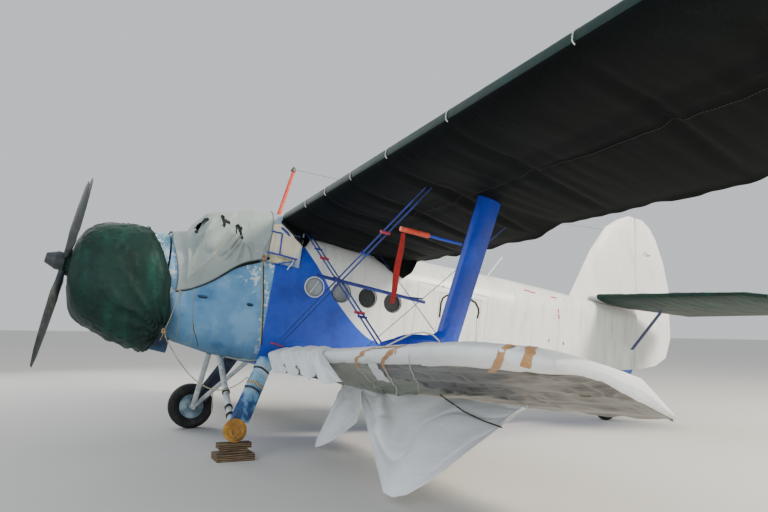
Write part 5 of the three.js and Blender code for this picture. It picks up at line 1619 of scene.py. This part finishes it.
for number, s in enumerate(WINDOW_S):
    look = (0.006, rim_rubber, "tyre") if number else (0.009, white_gloss, "white_paint")
    skin_line(f"window_rim_{number}", round_places(s, WINDOW_Z, WINDOW_RADIUS + 0.006), *look, off=0.003)
for number, material in enumerate((lit_pane_plate, half_lit_pane_plate)):
    disc = []
    for ring in range(PLATE_RINGS + 1):
        places = round_places(WINDOW_S[number], WINDOW_Z, PLATE_RADIUS * ring / PLATE_RINGS)[:-1]
        disc.append([on_skin(pane_skin, s, z, 0.004) for s, z in places])
    grid_piece(f"window_plate_{number}", disc, material, closed=True)
skin_line("window_stay_bar", [(3.965, 0.170), (4.085, 0.400)], 0.008, white_gloss, "white_paint", pane_skin,
    0.014)
DOOR_SEAL = [
    (6.375, 0.20), (6.366, 0.45), (6.390, 0.545), (6.46, 0.605), (6.70, 0.632), (6.94, 0.630), (7.07, 0.590),
    (7.145, 0.500), (7.165, 0.430), (7.150, 0.320),
]
DOOR_EDGE = [(7.148, 0.310), (7.172, -0.07), (7.178, -0.60)]
door_skin = surface_of("entry_door")
skin_line("entry_door_seal", DOOR_SEAL, 0.015, rim_rubber, "tyre", door_skin, 0.006, "entry_door")
skin_line("entry_door_edge_strip", DOOR_EDGE, 0.008, white_gloss, "white_paint", door_skin, 0.003,
    "entry_door")
print("windows and door seal placed")

# %% [markdown]
# Below the canvas a dark felt band keeps its hem off the paint. Old cords run down from the canvas round the
# nose, a tan rope's knot sits at its rear corner, and the last cord drops along the joint of the nose, with
# a dark cord beside it that paints its shadow. Two small air scoops are pressed into the nose panels, and a
# black patch in each mouth paints the shade inside it.

# %% Felt band, nose cords and scoops
# s and how far the felt shows below the hem
HEM_BAND = [(1.95, 0.020), (2.30, 0.028), (2.70, 0.050), (2.95, 0.062), (3.10, 0.050), (3.235, 0.030)]
FELT_START, FELT_REACH, FELT_STEPS, FELT_DOWN, UNDER_HEM = 1.935, 1.30, 60, 4, 0.012
band_rows = []
for k in range(FELT_STEPS + 1):
    s = FELT_START + FELT_REACH * k / FELT_STEPS
    top = curved(CANVAS_HEM, s) + UNDER_HEM
    depth = between(HEM_BAND, s) * (1 + 0.15 * ripple((0, s, 0), 0.12, 3)) + UNDER_HEM
    band_rows.append(
        [on_skin(side_skin, s, top - depth * j / FELT_DOWN, 0.005) for j in range(FELT_DOWN + 1)])
felt_band = grid_piece("canvas_felt_band", band_rows, black_webbing_and_shade)
KNOT_STEPS, KNOT_TURNS, LOOSE_STEPS = 60, 3, 16
tan_rope = laid_rope("jute_rope_tan", "#c6a888", "#8b6f52")


def knot(name, place, size, material, loose=()):
    turns = []
    for k in range(KNOT_STEPS + 1):
        t = k / KNOT_STEPS
        swing = t * math.tau * KNOT_TURNS
        out = 0.45 * math.cos(swing * 0.7) + 0.5
        turns.append(
            place + size * Vector((out, math.sin(swing), (2 * t - 1) * 0.8 + 0.6 * math.cos(swing))))
    rope(name, turns, size * 0.30, material)
    for number, end in enumerate(loose):
        shares = [k / LOOSE_STEPS for k in range(LOOSE_STEPS + 1)]
        tail = [place + Vector(end) * t + Vector((0.02 * math.sin(t * 5), 0, -0.03 * t * (1 - t)))
            for t in shares]
        free_cord(f"{name}_end_{number}", tail, size * 0.2, material)


# Places, radius and material of each cord on the nose
NOSE_CORDS = [
    ([(1.984, -0.157), (2.030, -0.42), (2.110, -0.86)], 0.006, hemp_rope),
    ([(2.175, -0.095), (2.215, -0.45), (2.343, -0.90)], 0.005, hemp_rope),
    ([(2.225, -0.50), (2.300, -0.70), (2.440, -0.92)], 0.004, dark_cord),
    ([(3.103, 0.550), (3.142, 0.299), (3.214, -0.082), (3.283, -0.538), (3.311, -0.766)], 0.010, hemp_rope),
    # The dark cord just behind the tan one paints the tan cord's shadow on the nose
    ([(3.122, 0.530), (3.163, 0.299), (3.236, -0.082), (3.304, -0.538), (3.332, -0.766)], 0.007, dark_cord),
]
for number, (places, radius, material) in enumerate(NOSE_CORDS):
    skin_line(f"nose_cord_{number}", places, radius, material, "rope")
# Each knot's loose ends are given by how far they reach from it
knot("canvas_rear_knot", on_skin(side_skin, 3.105, 0.560, 0.010), 0.032, tan_rope, [(0.02, -0.01, -0.12)])
knot("canvas_front_knot", on_skin(side_skin, 1.984, -0.160, 0.010), 0.018, hemp_rope, [(0.02, 0.02, -0.08)])
knot("cover_corner_knot", level(0.90, 1.860, -0.790), 0.026, tan_rope,
    [(0.03, 0.05, -0.12), (0.04, -0.05, -0.14)])
corner_route = levelled((0.925, 1.955, -0.19), (0.985, 1.93, -0.42), (0.965, 1.90, -0.62),
    (0.915, 1.868, -0.77))
rope("cover_corner_cord", corner_route, 0.005, hemp_rope)
skin_line("nose_joint_strip", [(3.47, -0.705), (3.55, -0.712), (3.66, -0.735)], 0.014, mast_paint,
    "orange_paint")
# s and z of each scoop's middle and half its length, then how far both stand out
SCOOPS = ((2.325, -0.200, 0.085), (3.041, -0.192, 0.060))
SCOOP_OUT, SCOOP_ALONG, SCOOP_DOWN = 0.030, 12, 8
for number, (s0, z0, half) in enumerate(SCOOPS):
    hood = []
    for a in [math.pi * i / SCOOP_ALONG for i in range(SCOOP_ALONG + 1)]:
        row = []
        for b in [math.pi / 2 * j / SCOOP_DOWN for j in range(SCOOP_DOWN + 1)]:
            up, out = SCOOP_OUT * math.sin(a) * math.cos(b), SCOOP_OUT * math.sin(a) * math.sin(b)
            row.append(on_skin(side_skin, s0 + half * math.cos(a), z0 + up, 0.002 + out))
        hood.append(row)
    grid_piece(f"nose_scoop_{number}", hood, scoop_paint)
    # A black patch under each hood paints the shade in the scoop's mouth
    front, rear = ([(s0 + way * half * 0.8, z0 + 0.004), (s0 + way * half * 0.6, z0 - 0.018)]
        for way in (-1, 1))
    skin_panel(f"nose_scoop_mouth_shade_{number}", front, rear, black_webbing_and_shade, off=0.003, steps=6)
print("nose cords", len(NOSE_CORDS), "and two scoops placed")

# %% [markdown]
# The streamlined wing wires are flat steel bars with blue paint, thicker than the CAD's thin rods,
# so a blue sleeve is drawn over each. Red bobbins hold the pairs apart. The foot of the wing strut
# stands in a moulded fairing, which swells forward of the strut and dies out on the wing's top.

# %% Wing wires and strut fairing
# The two ends of each wire, and the shares of its length between which the sleeve shows
WIRES = [
    ((0.960, 3.405, -0.880), (4.330, 3.985, 1.300), 0.03, 0.93),
    ((0.960, 3.475, -0.880), (4.330, 4.055, 1.300), 0.03, 0.93),
    ((0.900, 3.705, 1.120), (4.430, 3.645, -0.660), 0.06, 0.975),
    ((0.900, 3.775, 1.120), (4.430, 3.715, -0.660), 0.06, 0.975),
]
# The first wire of the pair that each bobbin holds apart, and its share of their length
BOBBINS = ((0, 0.775), (2, 0.30), (2, 0.77))
WIRE_RADIUS, BOBBIN_RADIUS, BOBBIN_PAST = 0.011, 0.019, 0.45
red_bobbin = enamel("bobbin_red_enamel", [(0.3, "#b01c2c"), (0.7, "#d63a4a")], 0.4)


def on_wire(way, number, share):
    start, end = (level(way * x, s, z) for x, s, z in WIRES[number][:2])
    return start.lerp(end, share)


for way, side_name in SIDES:
    for number, (_, _, low, high) in enumerate(WIRES):
        route = [on_wire(way, number, share) for share in (low, high)]
        rope(f"wing_wire_{side_name}_{number}", route, WIRE_RADIUS, wire_blue)
    for number, (first, share) in enumerate(BOBBINS):
        a, b = (on_wire(way, wire, share) for wire in (first, first + 1))
        past = (b - a) * BOBBIN_PAST
        rope(f"wing_wire_bobbin_{side_name}_{number}", [a - past, b + past], BOBBIN_RADIUS, red_bobbin)

FAIRING_X, FAIRING_FOOT, FAIRING_ROWS, FAIRING_COLUMNS = 4.60, -0.745, 40, 24
# s, half width, top height
FAIRING = [
    (3.585, 0.008, -0.690), (3.64, 0.052, -0.610), (3.74, 0.090, -0.530), (3.86, 0.114, -0.478),
    (4.00, 0.124, -0.455), (4.12, 0.120, -0.440), (4.22, 0.110, -0.400), (4.29, 0.098, -0.310),
    (4.34, 0.084, -0.170), (4.38, 0.070, -0.010), (4.42, 0.055, 0.120),
]
for way, side_name in SIDES:
    rows = []
    for i in range(FAIRING_ROWS + 1):
        s = FAIRING[0][0] + (FAIRING[-1][0] - FAIRING[0][0]) * i / FAIRING_ROWS
        wide, tall = curved(FAIRING, s), curved(FAIRING, s, 2) - FAIRING_FOOT
        turns = [math.pi * j / FAIRING_COLUMNS for j in range(FAIRING_COLUMNS + 1)]
        rows.append([level(way * (FAIRING_X + wide * math.cos(a)), s,
            FAIRING_FOOT + tall * math.sin(a) ** 0.8) for a in turns])
    grid_piece(f"strut_fairing_{side_name}", rows, blue_gloss, flip=way < 0)
print("wires and fairings placed")

# %% [markdown]
# Thin things stand on the back of the fuselage: a wire aerial from the mast to the fin, a short white
# whip aerial and a bent fitting on the rudder's side. A few red stencil strokes mark the lift points.

# %% Aerials and marks
aerial_route = levelled((0, 3.605, 2.33), (0, 7.8, 2.55), (0, 11.98, 3.05))
rope("aerial_wire", aerial_route, 0.0025, dark_cord)
rope("whip_aerial", levelled((0, 7.765, 1.20), (0, 8.111, 1.734)), 0.014, white_gloss)
fitting_route = levelled((0.085, 11.80, 2.62), (0.06, 11.93, 2.585), (0.05, 12.02, 2.60))
rope("rudder_fitting", fitting_route, 0.008, tail_metal, body="rudder")
# s and z of both ends of each stroke
MARKS = [
    [(8.229, 1.051), (8.38, 1.052)], [(8.36, 1.035), (8.511, 1.048)], [(8.937, 1.052), (9.08, 1.060)],
    [(9.090, 0.841), (9.105, 0.770)], [(9.110, 0.740), (9.140, 0.653)], [(8.920, 0.228), (8.918, 0.170)],
    [(9.325, 0.233), (9.349, 0.178)], [(6.371, 0.756), (6.390, 0.742)],
]
for number, places in enumerate(MARKS):
    skin_line(f"red_mark_{number}", places, 0.013, red_bobbin, "orange_paint", off=0.002)
print("aerials and", len(MARKS), "marks placed")

# %% [markdown]
# Rope and tape are wound round the left main leg and the tubes of its brace. Each band is a coil
# that is pressed onto the tube from outside: a ray towards the tube's axis finds where it lies.

# %% Bands on the left main gear
BAND_STEPS = 28
black_tape = coated_cloth("insulating_tape_black", [(0.3, "#0d0e10"), (0.7, "#25272a")], 0.5)
leg_skin, brace_skin = surface_of("gear_leg_left"), surface_of("gear_brace_left")
# Surface, both ends of the axis, and how far out the rays start, so that they meet no other tube
LEG = (leg_skin, *levelled((1.010, 3.400, -0.930), (1.515, 3.005, -1.885)), 0.4)
BRACE = (brace_skin, *levelled((0.390, 2.830, -1.000), (1.500, 2.960, -1.990)), 0.09)


def band_round(name, tube, share, radius, material, turns, rise):
    surface, top, foot, reach = tube
    axis = (foot - top).normalized()
    across = axis.cross(Vector((1, 0, 0.3))).normalized()
    upward_side = axis.cross(across)
    route = []
    for k in range(turns * BAND_STEPS + 1):
        a = math.tau * k / BAND_STEPS
        out = across * math.cos(a) + upward_side * math.sin(a)
        middle = top.lerp(foot, share) + axis * (rise * k / BAND_STEPS + 0.012 * math.sin(a))
        place = surface.ray_cast(middle + out * reach, -out, reach)[0]
        if place:
            route.append(place + out * radius * 0.7)
    rope(name, route, radius, material)


band_round("leg_band_dark", LEG, 0.20, 0.008, black_tape, 2, 0.014)
band_round("leg_band_white", LEG, 0.42, 0.009, hemp_rope, 3, 0.016)
band_round("leg_band_lower", LEG, 0.50, 0.007, dark_cord, 2, 0.020)
for number, share in enumerate((0.52, 0.72, 0.82)):
    band_round(f"brace_band_{number}", BRACE, share, 0.009, black_tape, 3, 0.014)
tie_route = levelled((1.03, 3.36, -0.98), (0.96, 3.16, -1.02), (0.88, 2.98, -1.03), (0.70, 2.86, -1.02))
rope("leg_tie_cord", tie_route, 0.006, hemp_rope)
hitch_end = leg_skin.find_nearest(rope_to)[0]
hitch_route = [rope_to, rope_to.lerp(hitch_end, 0.5) + Vector((0, 0, 0.006)), hitch_end]
rope("tie_rope_hitch", hitch_route, ROPE_RADIUS, hemp_rope)
print("gear bands placed")
